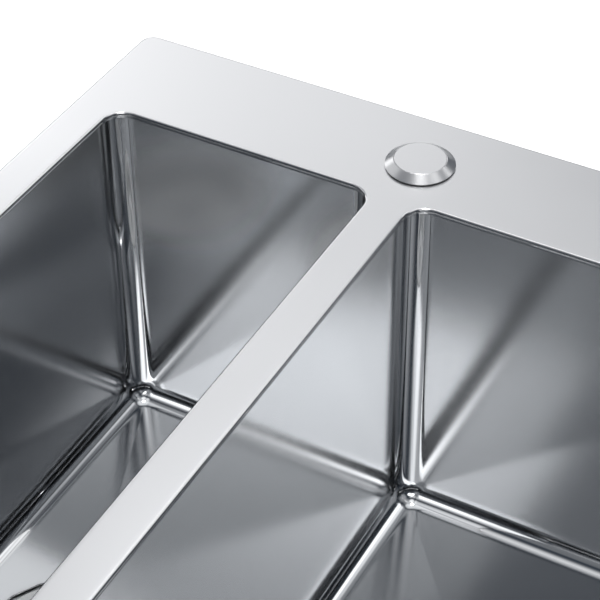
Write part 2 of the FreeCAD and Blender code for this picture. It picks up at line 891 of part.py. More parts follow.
def tangent_arc(start, corner, end):
    """Arc from start to end whose tangents meet at a corner as far from both."""
    middle = (start + end) / 2
    lean = (corner - start).getAngle(end - start)
    rise = (end - start).Length / 2 * math.tan(lean / 2)
    return Part.Arc(start, middle + (corner - middle).normalize() * rise, end).toShape()


def biarc(start, heading, end, last_heading):
    """Two smoothly joined arcs between two points with given unit headings."""
    run = end - start
    both = heading + last_heading
    spread = 2 * (1 - heading.dot(last_heading))
    along = run.dot(both)
    reach = (math.sqrt(along ** 2 + spread * run.dot(run)) - along) / spread
    first_corner = start + heading * reach
    last_corner = end - last_heading * reach
    joint = (first_corner + last_corner) / 2
    return [tangent_arc(start, first_corner, joint), tangent_arc(joint, last_corner, end)]


def coil(radius, low, high, turns, wire_radius):
    """Wire coil about Z, laid on two arcs for each quarter turn."""
    quarters = 4 * turns
    slope = (high - low) / (2 * math.pi * turns)
    edges = []
    spots = []
    headings = []
    for index in range(quarters + 1):
        angle = math.pi / 2 * index
        spots.append(V(radius * math.cos(angle), radius * math.sin(angle), low + slope * angle))
        headings.append(V(-radius * math.sin(angle), radius * math.cos(angle), slope).normalize())
    for index in range(quarters):
        edges += biarc(spots[index], headings[index], spots[index + 1], headings[index + 1])
    section = Part.Wire(Part.Circle(spots[0], headings[0], wire_radius).toShape())
    return Part.Wire(edges).makePipeShell([section], True, False)


def button_spring():
    """Compression spring between the sleeve's floor and the button."""
    low = sleeve_floor_top + spring_wire_radius + rest_gap
    high = deck_top + button_height - cap_top - spring_wire_radius - rest_gap
    return coil(spring_radius, low, high, spring_turns, spring_wire_radius)


def button_washer():
    """Rubber washer under the deck."""
    inner = sleeve_outer + thread_gap
    return ring(inner, back_washer_radius, deck_under - back_washer_thickness, deck_under)


def button_back_nut():
    """Nut that clamps the sleeve from below."""
    top = deck_under - back_washer_thickness
    nut = hexagon(back_nut_flat, top - back_nut_height, top)
    return nut.cut(drum(sleeve_outer + thread_gap, top - back_nut_height, top))


def button_cable_gland():
    """Gland under the sleeve where the cable enters."""
    top = sleeve_floor_top - sleeve_floor
    low = top - cable_gland_length
    inner = button_stem_radius + slide_gap
    return turned([
        (inner, top),
        (cable_gland_radius, top),
        (cable_gland_radius, low + cable_gland_floor),
        (cable_gland_radius - cable_gland_floor / 2, low),
        (cable_bore_radius / 2, low),
        (cable_bore_radius / 2, low + cable_gland_floor),
        (inner, low + cable_gland_floor),
    ])


# Overflow
def overflow_cover():
    """Round cover inside the bowl, with inlet slots around its side."""
    sheet = overflow_cover_sheet
    high = overflow_cover_height
    crown = high + sheet
    cap = turned([
        (overflow_screw_radius + thread_gap, crown - sheet),
        (overflow_cover_radius - 2 * sheet, high - sheet),
        (overflow_cover_radius - sheet, high - 2 * sheet),
        (overflow_cover_radius - sheet, 0),
        (overflow_cover_radius, 0),
        (overflow_cover_radius, high - sheet),
        (overflow_cover_radius - sheet, high),
        (overflow_screw_radius + thread_gap, crown),
    ])
    slot = Part.makeBox(overflow_cover_radius, overflow_slot_width, overflow_slot_height)
    slot = slot.translate(V(overflow_cover_radius / 2, -overflow_slot_width / 2, 0))
    cap = cap.cut(around(slot, overflow_slots))
    return facing_rear(cap.rotate(V(0, 0, 0), V(1, 0, 0), 180), overflow_spot)


def overflow_screw():
    """Screw that draws the cover to the elbow."""
    bar_face = overflow_bar_depth()
    head_top = -overflow_cover_height - overflow_cover_sheet
    shank = drum(overflow_screw_radius, head_top, bar_face + overflow_bar_width)
    head = turned([
        (0, head_top),
        (overflow_screw_head, head_top),
        (overflow_screw_head, head_top - overflow_screw_radius / 2),
        (overflow_screw_crown, head_top - overflow_screw_radius),
        (0, head_top - overflow_screw_radius),
    ])
    return facing_rear(shank.fuse(head), overflow_spot)


def overflow_bar_depth():
    """Depth of the screw bar's near face behind the wall's inner face."""
    return bowl_sheet + overflow_seal_thickness


def overflow_seal():
    """Washer between the bowl's rear wall and the elbow."""
    seal = ring(overflow_hole_radius, overflow_flange_radius, bowl_sheet, overflow_bar_depth())
    return facing_rear(seal, overflow_spot)


def overflow_elbow():
    """Moulded elbow behind the bowl that turns the overflow down."""
    face = overflow_bar_depth()
    back = face + overflow_run
    wall = overflow_socket_wall
    mouth = turned([
        (0, face),
        (overflow_flange_radius, face),
        (overflow_flange_radius, face + overflow_flange_thickness),
        (overflow_mouth_radius + wall, face + overflow_flange_thickness),
        (overflow_tube_outer, back),
        (0, back),
    ])
    funnel = turned([
        (0, face),
        (overflow_mouth_radius, face),
        (overflow_tube_radius, back - wall),
        (0, back - wall),
    ])
    drop_axis = V(0, overflow_elbow_drop, back - overflow_tube_outer)
    leg_start = V(0, 0, back - overflow_tube_outer)
    leg = rod(overflow_tube_outer, leg_start, drop_axis)
    bore = rod(overflow_tube_radius, leg_start, drop_axis)
    bar = Part.makeBox(2 * overflow_mouth_radius, overflow_bar_width, overflow_bar_width)
    bar = bar.translate(V(-overflow_mouth_radius, -overflow_bar_width / 2, face))
    pilot = drum(overflow_screw_radius + thread_gap, face, back)
    elbow = mouth.fuse(leg).cut(funnel.fuse(bore)).fuse(bar).cut(pilot)
    return facing_rear(elbow, overflow_spot)


def overflow_pipe():
    """Moulded pipe from the elbow down and across to the waste body."""
    drop_y = overflow_spot.y + overflow_bar_depth() + overflow_run - overflow_tube_outer
    start = V(overflow_spot.x, drop_y, overflow_spot.z - overflow_elbow_drop + overflow_socket_depth)
    mouth = main_waste.x + overflow_socket_end() - overflow_socket_depth + rest_gap
    points = [
        start,
        V(overflow_spot.x, drop_y, overflow_branch_z),
        V(overflow_spot.x, main_waste.y, overflow_branch_z),
        V(mouth, main_waste.y, overflow_branch_z),
    ]
    return tube(points, overflow_bend, overflow_pipe_radius, overflow_pipe_radius - overflow_pipe_wall)


# Waste pipework, built about the axis of the fitting that it hangs from
def socket(top, shoulder, bottom):
    """Upright socket that ends in a plain tube."""
    bore = tail_radius - tail_wall
    return turned([
        (socket_radius, top),
        (socket_outer, top),
        (socket_outer, shoulder - socket_wall),
        (tail_radius, shoulder - 2 * socket_wall),
        (tail_radius, bottom),
        (bore, bottom),
        (bore, shoulder),
        (socket_radius, shoulder),
    ])


def outlet_spigot():
    """Wider tube at the outlet's end that the trap is pushed on."""
    top = outlet_end + spigot_length
    step = spigot_radius - tail_radius
    bore = spigot_radius - tail_wall
    return turned([
        (tail_radius, top + step),
        (spigot_radius, top),
        (spigot_radius, outlet_end),
        (bore, outlet_end),
        (bore, top - step),
        (tail_radius - tail_wall, top),
        (tail_radius - tail_wall, top + step),
    ])


def outlet_tee():
    """Tee under the main waste, with the branch from the half bowl and the outlet spigot."""
    bore = tail_radius - tail_wall
    upright = socket(socket_top, socket_shoulder, outlet_end + spigot_length)
    branch = facing_left(socket(branch_reach, branch_reach - socket_depth, 0), V(0, 0, branch_z))
    upright_bore = drum(bore, outlet_end, socket_shoulder)
    branch_bore = rod(bore, V(0, 0, branch_z), V(socket_depth - branch_reach, 0, branch_z))
    return upright.fuse([branch, outlet_spigot()]).cut([upright_bore, branch_bore])


def half_elbow():
    """Elbow under the half waste that turns towards the tee."""
    bore = tail_radius - tail_wall
    upright = socket(socket_top, socket_shoulder, branch_z + elbow_bend)
    mouth = socket(branch_reach, branch_reach - socket_depth, elbow_bend)
    mouth = facing_right(mouth, V(0, 0, branch_z))
    start = V(0, 0, branch_z + elbow_bend)
    wall = Part.Face(Part.Wire(Part.Circle(start, UP, tail_radius).toShape()))
    wall = wall.cut(Part.Face(Part.Wire(Part.Circle(start, UP, bore).toShape())))
    bend = wall.revolve(V(elbow_bend, 0, branch_z + elbow_bend), V(0, -1, 0), QUARTER_TURN)
    return upright.fuse([bend, mouth])


def cross_pipe():
    """Straight pipe between the elbow and the tee."""
    start = half_waste + V(branch_reach - socket_depth + socket_gap, 0, branch_z)
    end = main_waste + V(socket_depth - branch_reach - socket_gap, 0, branch_z)
    return rod(tail_radius, start, end).cut(rod(tail_radius - pipe_wall, start, end))


def slip_nut():
    """Lobed nut over the end of a socket, with its mouth at height zero."""
    low = slip_nut_lip + slip_seal_height - slip_nut_height
    lip_under = slip_seal_height
    nut = drum(slip_nut_radius, low, lip_under + slip_nut_lip)
    lobe = drum(slip_nut_lobe_radius, low, lip_under)
    lobe = lobe.translate(V(slip_nut_radius - slip_nut_lobe_sink, 0, 0))
    nut = nut.fuse(around(lobe, slip_nut_lobes))
    nut = nut.cut(drum(socket_outer + thread_gap, low, lip_under))
    return nut.cut(drum(tail_radius + socket_gap, lip_under, lip_under + slip_nut_lip))


def slip_seal():
    """Tapered washer on the mouth of a socket, under the slip nut."""
    inner = tail_radius + socket_gap / 2
    return turned([
        (inner, 0),
        (socket_outer, 0),
        (socket_outer, slip_seal_height / 2),
        (inner + socket_wall / 2, slip_seal_height),
        (inner, slip_seal_height),
    ])


def at_sockets(piece):
    """One copy of a piece on the mouth of each of the four sockets."""
    upright = piece.copy().translate(V(0, 0, socket_top))
    to_right = facing_right(piece.copy(), V(branch_reach, 0, branch_z))
    to_left = facing_left(piece.copy(), V(-branch_reach, 0, branch_z))
    return Part.makeCompound([
        upright.copy().translate(half_waste),
        to_right.translate(half_waste),
        upright.copy().translate(main_waste),
        to_left.translate(main_waste),
    ])


def make_deck():
    """Deck, bowls, rim seal and sound pads."""
    export("deck_plate", deck_plate())
    export("half_bowl", bowl(half_plan, half_waste))
    export("main_bowl", main_bowl())
    export("rim_seal", rim_seal())
    half_side = half_plan[0] - wall_outside - pad_thickness
    export("half_sound_pads", sound_pads(half_plan, half_waste, half_side))
    export("main_sound_pads", sound_pads(main_plan, main_waste, main_plan[1] + wall_outside))


def make_clamps():
    """Studs and wing nuts as groups, and one claw per node because each swings by itself."""
    places = clamp_places()
    export("clamp_studs", Part.makeCompound([parked(clamp_stud(), place) for place in places]))
    export("clamp_wing_nuts", Part.makeCompound([parked(wing_nut(), place) for place in places]))
    for number, place in enumerate(places, start=1):
        export("clamp_claw_" + str(number), parked(clamp_claw(), place))


def make_wastes():
    """The two strainer wastes and the pop-up lift."""
    stem_bore = lift_stem_radius + slide_gap
    for name, spot, bore in (("half", half_waste, 0), ("main", main_waste, stem_bore)):
        export(name + "_waste_flange", waste_flange().translate(spot))
        export(name + "_waste_upper_seal", upper_seal().translate(spot))
        export(name + "_waste_lower_seal", lower_seal().translate(spot))
        export(name + "_waste_screw", waste_screw(bore).translate(spot))
        export(name + "_basket", basket().translate(spot))
        export(name + "_basket_seal", basket_seal().translate(spot))
        export(name + "_basket_knob", basket_knob().translate(spot))
    export("half_waste_body", waste_body().translate(half_waste))
    export("main_waste_body", main_waste_body().translate(main_waste))
    export("lift_stem", lift_stem().translate(main_waste))
    export("lift_lever", lift_lever().translate(main_waste))
    export("lever_gland_nut", lever_gland_nut().translate(main_waste))
    export("lever_seal", lever_seal().translate(main_waste))
    export("cable_bracket", cable_bracket().translate(main_waste))


def make_button():
    """The push button and what holds it in the ledge."""
    pieces = (
        ("button_bezel", button_bezel),
        ("button_seal", button_seal),
        ("button_cap", button_cap),
        ("button_stem", button_stem),
        ("button_sleeve", button_sleeve),
        ("button_spring", button_spring),
        ("button_washer", button_washer),
        ("button_back_nut", button_back_nut),
        ("button_cable_gland", button_cable_gland),
    )
    for name, build in pieces:
        export(name, build().translate(button_spot))


def make_pipework():
    """Overflow and waste pipes."""
    export("overflow_cover", overflow_cover())
    export("overflow_screw", overflow_screw())
    export("overflow_seal", overflow_seal())
    export("overflow_elbow", overflow_elbow())
    export("overflow_pipe", overflow_pipe())
    export("outlet_tee", outlet_tee().translate(main_waste))
    export("half_elbow", half_elbow().translate(half_waste))
    export("cross_pipe", cross_pipe())
    export("slip_nuts", at_sockets(slip_nut()))
    export("slip_seals", at_sockets(slip_seal()))


os.makedirs("parts", exist_ok=True)
make_deck()
make_clamps()
make_wastes()
make_button()
make_pipework()
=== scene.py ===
import json
import logging
import math
from dataclasses import dataclass, field
from enum import Enum
from typing import Callable, Sequence

import bmesh
import bpy
from mathutils import Matrix, Vector


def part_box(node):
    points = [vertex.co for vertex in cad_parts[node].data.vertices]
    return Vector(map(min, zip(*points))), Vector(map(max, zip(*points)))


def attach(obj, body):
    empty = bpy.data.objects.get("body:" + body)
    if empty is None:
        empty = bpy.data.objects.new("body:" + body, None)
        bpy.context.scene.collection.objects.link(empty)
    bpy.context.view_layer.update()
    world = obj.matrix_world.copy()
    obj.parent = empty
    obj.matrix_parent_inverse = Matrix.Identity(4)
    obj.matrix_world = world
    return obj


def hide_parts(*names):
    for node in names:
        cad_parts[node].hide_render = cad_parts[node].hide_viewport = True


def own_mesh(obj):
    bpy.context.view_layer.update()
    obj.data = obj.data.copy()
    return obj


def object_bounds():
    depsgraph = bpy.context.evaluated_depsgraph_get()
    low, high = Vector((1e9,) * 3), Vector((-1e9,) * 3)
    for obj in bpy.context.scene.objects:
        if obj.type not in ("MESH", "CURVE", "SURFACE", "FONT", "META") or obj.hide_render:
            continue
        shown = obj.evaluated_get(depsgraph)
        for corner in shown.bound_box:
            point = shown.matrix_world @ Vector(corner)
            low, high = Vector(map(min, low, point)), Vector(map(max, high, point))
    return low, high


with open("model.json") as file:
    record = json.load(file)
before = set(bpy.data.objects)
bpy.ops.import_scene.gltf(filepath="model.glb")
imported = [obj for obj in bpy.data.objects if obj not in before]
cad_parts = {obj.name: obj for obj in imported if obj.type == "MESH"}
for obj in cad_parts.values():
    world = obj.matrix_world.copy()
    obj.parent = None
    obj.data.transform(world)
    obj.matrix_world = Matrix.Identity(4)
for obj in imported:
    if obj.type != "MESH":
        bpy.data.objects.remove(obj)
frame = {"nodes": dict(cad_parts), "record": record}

log = logging.getLogger("sink")

MM = 0.001
CAD_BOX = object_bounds()
BEND_MARK = "bend"
WELD_GAP = 1e-7
ISLAND_GAP = 1e-6
NOISE_SPAN = (0.3, 0.7)
FLAT_FACE_WEIGHT = 90
ROUND_STEPS = 48

Loop = list[Vector]


class Grain(Enum):
    """Which way the polishing lines of a steel run."""

    ALONG_X = (0.02, 1.0, 1.0)
    LEVEL = (0.03, 0.03, 1.0)
    NONE = (1.0, 1.0, 1.0)


class Nodes:
    """Short calls that add shader nodes to one tree."""

    def __init__(self, tree: bpy.types.NodeTree) -> None:
        """Keep the tree and empty it."""
        self.tree = tree
        tree.nodes.clear()

    def add(self, kind: str, **settings: object) -> bpy.types.Node:
        """Add one node.

        Args:
            kind: The node's class name in Blender.
            settings: Attributes to set on it.

        Returns:
            The new node.
        """
        node = self.tree.nodes.new(kind)
        for key, value in settings.items():
            setattr(node, key, value)
        return node

    def link(self, source: bpy.types.NodeSocket, target: bpy.types.NodeSocket) -> None:
        """Join an output to an input."""
        self.tree.links.new(source, target)

    def noise(self, scale: Sequence[float], size: float, detail: float) -> bpy.types.NodeSocket:
        """Noise on the piece's own coordinates.

        Args:
            scale: How much each axis is squeezed.
            size: Number of noise cells in a metre.
            detail: Octaves of finer noise.

        Returns:
            The noise value, about 0.5 on average.
        """
        place = self.add("ShaderNodeTexCoord")
        mapping = self.add("ShaderNodeMapping")
        mapping.inputs["Scale"].default_value = tuple(scale)
        texture = self.add("ShaderNodeTexNoise")
        texture.inputs["Scale"].default_value = size
        texture.inputs["Detail"].default_value = detail
        self.link(place.outputs["Object"], mapping.inputs["Vector"])
        self.link(mapping.outputs["Vector"], texture.inputs["Vector"])
        return texture.outputs["Fac"]

    def spread(self, value: bpy.types.NodeSocket, low: float, high: float) -> bpy.types.NodeSocket:
        """Map a noise value from its usual span to a range from low to high."""
        mapped = self.add("ShaderNodeMapRange", interpolation_type="SMOOTHSTEP")
        ends = zip(("From Min", "From Max", "To Min", "To Max"), (*NOISE_SPAN, low, high))
        for name, end in ends:
            mapped.inputs[name].default_value = end
        self.link(value, mapped.inputs["Value"])
        return mapped.outputs["Result"]

    def tint(self, value: bpy.types.NodeSocket, colour: Sequence[float], swing: float) -> bpy.types.NodeSocket:
        """Colour that varies a little with a noise value.

        Args:
            value: The noise.
            colour: The middle colour.
            swing: Share by which it gets darker and lighter.

        Returns:
            The colour.
        """
        ramp = self.add("ShaderNodeValToRGB")
        ramp.color_ramp.interpolation = "EASE"
        for element, spot, share in zip(ramp.color_ramp.elements, NOISE_SPAN, (1 - swing, 1 + swing)):
            element.position = spot
            element.color = (*(min(1.0, part * share) for part in colour), 1.0)
        self.link(value, ramp.inputs["Fac"])
        return ramp.outputs["Color"]

    def on_bends(self, value: bpy.types.NodeSocket, bent: float) -> bpy.types.NodeSocket:
        """Value that changes to another one where the piece is marked as bent."""
        mark = self.add("ShaderNodeAttribute", attribute_name=BEND_MARK)
        mix = self.add("ShaderNodeMix", data_type="FLOAT")
        mix.inputs["B"].default_value = bent
        self.link(mark.outputs["Fac"], mix.inputs["Factor"])
        self.link(value, mix.inputs["A"])
        return mix.outputs["Result"]

    def bump(self, height: bpy.types.NodeSocket, strength: float, depth: float) -> bpy.types.NodeSocket:
        """Normal from a height whose unit is the depth in metres."""
        node = self.add("ShaderNodeBump")
        node.inputs["Strength"].default_value = strength
        node.inputs["Distance"].default_value = depth
        self.link(height, node.inputs["Height"])
        return node.outputs["Normal"]


def new_material(name: str) -> tuple[bpy.types.Material, Nodes, bpy.types.Node]:
    """Material with one principled shader, given with its nodes and that shader."""
    material = bpy.data.materials.new(name)
    material.use_nodes = True
    nodes = Nodes(material.node_tree)
    shader = nodes.add("ShaderNodeBsdfPrincipled")
    output = nodes.add("ShaderNodeOutputMaterial")
    nodes.link(shader.outputs["BSDF"], output.inputs["Surface"])
    return material, nodes, shader


@dataclass(frozen=True)
class SteelFinish:
    """Brushed, satin or polished metal."""

    name: str
    colour: tuple[float, float, float]
    roughness: tuple[float, float]
    grain: Grain = Grain.NONE
    grain_size: float = 2500.0
    grain_strength: float = 0.1
    grain_depth: float = 0.00002
    grain_detail: float = 2.0
    cloud_size: float = 9.0
    cloud_detail: float = 3.0
    swing: float = 0.03
    bend_roughness: float | None = None

    def material(self) -> bpy.types.Material:
        """Build the material: cloudy tint, uneven gloss, fine lines and a finer polish on bends."""
        material, nodes, shader = new_material(self.name)
        cloud = nodes.noise(Grain.NONE.value, self.cloud_size, self.cloud_detail)
        lines = nodes.noise(self.grain.value, self.grain_size, self.grain_detail)
        nodes.link(nodes.tint(cloud, self.colour, self.swing), shader.inputs["Base Color"])
        gloss = nodes.spread(cloud, *self.roughness)
        if self.bend_roughness is not None:
            gloss = nodes.on_bends(gloss, self.bend_roughness)
        nodes.link(gloss, shader.inputs["Roughness"])
        nodes.link(nodes.bump(lines, self.grain_strength, self.grain_depth), shader.inputs["Normal"])
        shader.inputs["Metallic"].default_value = 1.0
        return material


@dataclass(frozen=True)
class MouldedFinish:
    """Plastic or rubber with a fine moulded skin."""

    name: str
    colour: tuple[float, float, float]
    roughness: tuple[float, float]
    pore_size: float = 1400.0
    pore_strength: float = 0.25
    pore_depth: float = 0.00008
    pore_detail: float = 2.0
    cloud_size: float = 30.0
    cloud_detail: float = 4.0
    swing: float = 0.05

    def material(self) -> bpy.types.Material:
        """Build the material: cloudy tint, uneven gloss and pores."""
        material, nodes, shader = new_material(self.name)
        cloud = nodes.noise(Grain.NONE.value, self.cloud_size, self.cloud_detail)
        pores = nodes.noise(Grain.NONE.value, self.pore_size, self.pore_detail)
        nodes.link(nodes.tint(cloud, self.colour, self.swing), shader.inputs["Base Color"])
        nodes.link(nodes.spread(cloud, *self.roughness), shader.inputs["Roughness"])
        nodes.link(nodes.bump(pores, self.pore_strength, self.pore_depth), shader.inputs["Normal"])
        return material


FINISHES: dict[str, SteelFinish | MouldedFinish] = {
    "deck_steel": SteelFinish("deck_satin", (0.785, 0.786, 0.795), (0.28, 0.30), Grain.ALONG_X, grain_strength=0.02,
                              swing=0.01, bend_roughness=0.08),
    "bowl_steel": SteelFinish("bowl_satin", (0.71, 0.719, 0.73), (0.13, 0.15), Grain.LEVEL, grain_strength=0.01,
                              swing=0.01, bend_roughness=0.05),
    "button_steel": SteelFinish("button_satin", (0.86, 0.86, 0.865), (0.28, 0.31), grain_strength=0.02),
    "waste_steel": SteelFinish("waste_blasted", (0.86, 0.865, 0.87), (0.70, 0.78), swing=0.02),
    "clamp_zinc": SteelFinish("clamp_zinc", (0.62, 0.63, 0.62), (0.28, 0.42), swing=0.1),
    "lever_brass": SteelFinish("turned_brass", (0.72, 0.56, 0.30), (0.28, 0.34), swing=0.08),
    "spring_steel": SteelFinish("drawn_wire", (0.48, 0.48, 0.47), (0.28, 0.4)),
    "pipe_plastic": MouldedFinish("pipe_white", (0.80, 0.80, 0.78), (0.38, 0.5), swing=0.02),
    "fitting_plastic": MouldedFinish("fitting_black", (0.03, 0.03, 0.032), (0.4, 0.55)),
    "seal_rubber": MouldedFinish("seal_black", (0.02, 0.02, 0.02), (0.55, 0.75)),
    "rim_foam": MouldedFinish("rim_foam", (0.06, 0.06, 0.06), (0.7, 0.9), pore_size=700.0, pore_strength=0.6),
    "pad_rubber": MouldedFinish("pad_black", (0.025, 0.025, 0.026), (0.6, 0.8), pore_size=500.0, pore_strength=0.5),
}


class Finishes:
    """Makes each finish once and puts it on pieces."""

    def __init__(self) -> None:
        """Start with no material made."""
        self.made: dict[str, bpy.types.Material] = {}

    def get(self, slot: str) -> bpy.types.Material:
        """Material for a slot of the record."""
        if slot not in self.made:
            self.made[slot] = FINISHES[slot].material()
        return self.made[slot]

    def dress_cad_nodes(self) -> None:
        """Give every CAD node the finish of its slot."""
        for row in frame["record"]["subparts"]:
            node = frame["nodes"][row["node"]]
            node.data.materials.clear()
            node.data.materials.append(self.get(row["material_slot"]))


@dataclass(frozen=True)
class Plan:
    """Rectangle in plan with round corners."""

    x0: float
    x1: float
    y0: float
    y1: float
    radius: float
    corner_steps: int = 20
    side_steps: int = 14

    def grown(self, by: float) -> "Plan":
        """The same plan moved outwards by one distance on every side."""
        return Plan(self.x0 - by, self.x1 + by, self.y0 - by, self.y1 + by, self.radius + by,
                    self.corner_steps, self.side_steps)

    def middle(self) -> Vector:
        """Centre of the rectangle."""
        return Vector(((self.x0 + self.x1) / 2, (self.y0 + self.y1) / 2, 0))

    def loop(self, z: float) -> Loop:
        """Points around the plan, anticlockwise seen from above.

        Args:
            z: Their height.

        Returns:
            The points, as many for every plan with the same steps.
        """
        r = self.radius
        centres = [
            (self.x1 - r, self.y0 + r, -math.pi / 2),
            (self.x1 - r, self.y1 - r, 0.0),
            (self.x0 + r, self.y1 - r, math.pi / 2),
            (self.x0 + r, self.y0 + r, math.pi),
        ]
        points: Loop = []
        for cx, cy, start in centres:
            for turn in arc_steps(self.corner_steps):
                angle = start + turn
                points.append(Vector((cx + r * math.cos(angle), cy + r * math.sin(angle), z)))
        return self._with_sides(points)

    def _with_sides(self, corners: Loop) -> Loop:
        """Add points along the straight sides between the corner arcs."""
        per_corner = self.corner_steps + 1
        points: Loop = []
        for index, point in enumerate(corners):
            points.append(point)
            if (index + 1) % per_corner == 0:
                following = corners[(index + 1) % len(corners)]
                for step in range(1, self.side_steps):
                    points.append(point.lerp(following, step / self.side_steps))
        return points


def circle_like(loop: Loop, centre: Vector, radius: float, z: float) -> Loop:
    """Circle whose points lie in the same directions as those of a loop.

    Args:
        loop: The loop to follow.
        centre: Centre of the circle.
        radius: Its radius.
        z: Its height.

    Returns:
        The circle's points.
    """
    points = []
    for point in loop:
        away = Vector((point.x - centre.x, point.y - centre.y, 0)).normalized()
        points.append(Vector((centre.x, centre.y, z)) + away * radius)
    return points


def round_loop(centre: Vector, radius: float, z: float, steps: int) -> Loop:
    """Circle of evenly spaced points at one height."""
    points = []
    for step in range(steps):
        angle = 2 * math.pi * step / steps
        points.append(Vector((centre.x + radius * math.cos(angle), centre.y + radius * math.sin(angle), z)))
    return points


class Skin:
    """Mesh under construction."""

    def __init__(self) -> None:
        """Start empty."""
        self.bm = bmesh.new()

    def ring(self, loop: Loop) -> list[bmesh.types.BMVert]:
        """Add the points of a loop."""
        return [self.bm.verts.new(point) for point in loop]

    def bridge(self, first: list[bmesh.types.BMVert], second: list[bmesh.types.BMVert]) -> None:
        """Join two rings of as many points by a band of faces."""
        count = len(first)
        for index in range(count):
            after = (index + 1) % count
            self.bm.faces.new((first[index], first[after], second[after], second[index]))

    def bands(self, loops: Sequence[Loop]) -> list[list[bmesh.types.BMVert]]:
        """Add loops and join each to the next.

        Args:
            loops: Loops of as many points.

        Returns:
            Their rings of points.
        """
        rings = [self.ring(loop) for loop in loops]
        for first, second in zip(rings, rings[1:]):
            self.bridge(first, second)
        return rings

    def fill(self, rings: Sequence[list[bmesh.types.BMVert]]) -> None:
        """Fill a flat face between an outer ring and its holes."""
        edges = []
        for points in rings:
            for index, point in enumerate(points):
                after = points[(index + 1) % len(points)]
                edge = self.bm.edges.get((point, after)) or self.bm.edges.new((point, after))
                edges.append(edge)
        bmesh.ops.triangle_fill(self.bm, edges=edges, use_beauty=True)

    def cap(self, points: list[bmesh.types.BMVert]) -> None:
        """Close a ring with one face."""
        self.bm.faces.new(points)

    def piece(self, name: str) -> bpy.types.Object:
        """Turn the mesh into an object at the origin.

        Args:
            name: The object's name.

        Returns:
            The object, with its faces outwards.
        """
        bmesh.ops.remove_doubles(self.bm, verts=self.bm.verts, dist=WELD_GAP)
        bmesh.ops.recalc_face_normals(self.bm, faces=self.bm.faces)
        mesh = bpy.data.meshes.new(name)
        self.bm.to_mesh(mesh)
        self.bm.free()
        piece = bpy.data.objects.new(name, mesh)
        bpy.context.scene.collection.objects.link(piece)
        return piece


def settle(piece: bpy.types.Object, sharp_degrees: float = 35.0) -> None:
    """Apply a piece's modifiers and give it smooth, area-weighted normals.

    Args:
        piece: The piece.
        sharp_degrees: Edges that bend more than this stay sharp.
    """
    bake_modifiers(piece)
    piece.data.shade_smooth()
    piece.data.set_sharp_from_angle(angle=math.radians(sharp_degrees))
    weighted = piece.modifiers.new("even_shading", "WEIGHTED_NORMAL")
    weighted.keep_sharp = True
    weighted.weight = FLAT_FACE_WEIGHT
    bake_modifiers(piece)


def mark_bends(piece: bpy.types.Object, flatness: Callable[[Vector], float], span: float) -> None:
    """Mark the points of a piece that lie on a bend and touch no flat face.

    Args:
        piece: The piece.
        flatness: Gives 1 for the normal of a flat face and less on bends.
        span: Loss of flatness at which a face counts as fully bent.
    """
    bends = [1.0] * len(piece.data.vertices)
    for face in piece.data.polygons:
        bend = min(1.0, (1 - flatness(face.normal)) / span)
        for point in face.vertices:
            bends[point] = min(bends[point], bend)
    marks = piece.data.attributes.new(BEND_MARK, "FLOAT", "POINT")
    marks.data.foreach_set("value", bends)


def bake_modifiers(piece: bpy.types.Object) -> None:
    """Replace a piece's mesh by the result of its modifiers."""
    bpy.context.view_layer.update()
    graph = bpy.context.evaluated_depsgraph_get()
    done = bpy.data.meshes.new_from_object(piece.evaluated_get(graph))
    old = piece.data
    piece.modifiers.clear()
    piece.data = done
    bpy.data.meshes.remove(old)


def arc_steps(count: int) -> list[float]:
    """Angles from 0 to a quarter turn, in equal steps."""
    return [math.pi / 2 * step / count for step in range(count + 1)]


def lathe(name: str, centre: Vector, profile: Sequence[tuple[float, float]], steps: int,
          closed: bool = True) -> bpy.types.Object:
    """Piece turned about an upright axis.

    Args:
        name: The piece's name.
        centre: A point on the axis.
        profile: Radius and height of each point of the outline.
        steps: Points around the axis.
        closed: Whether the outline closes on itself, or else both its ends are closed by flat faces.

    Returns:
        The piece.
    """
    skin = Skin()
    rings = skin.bands([round_loop(centre, radius, z, steps) for radius, z in profile])
    if closed:
        skin.bridge(rings[-1], rings[0])
    else:
        skin.cap(rings[0])
        skin.cap(rings[-1])
    return skin.piece(name)


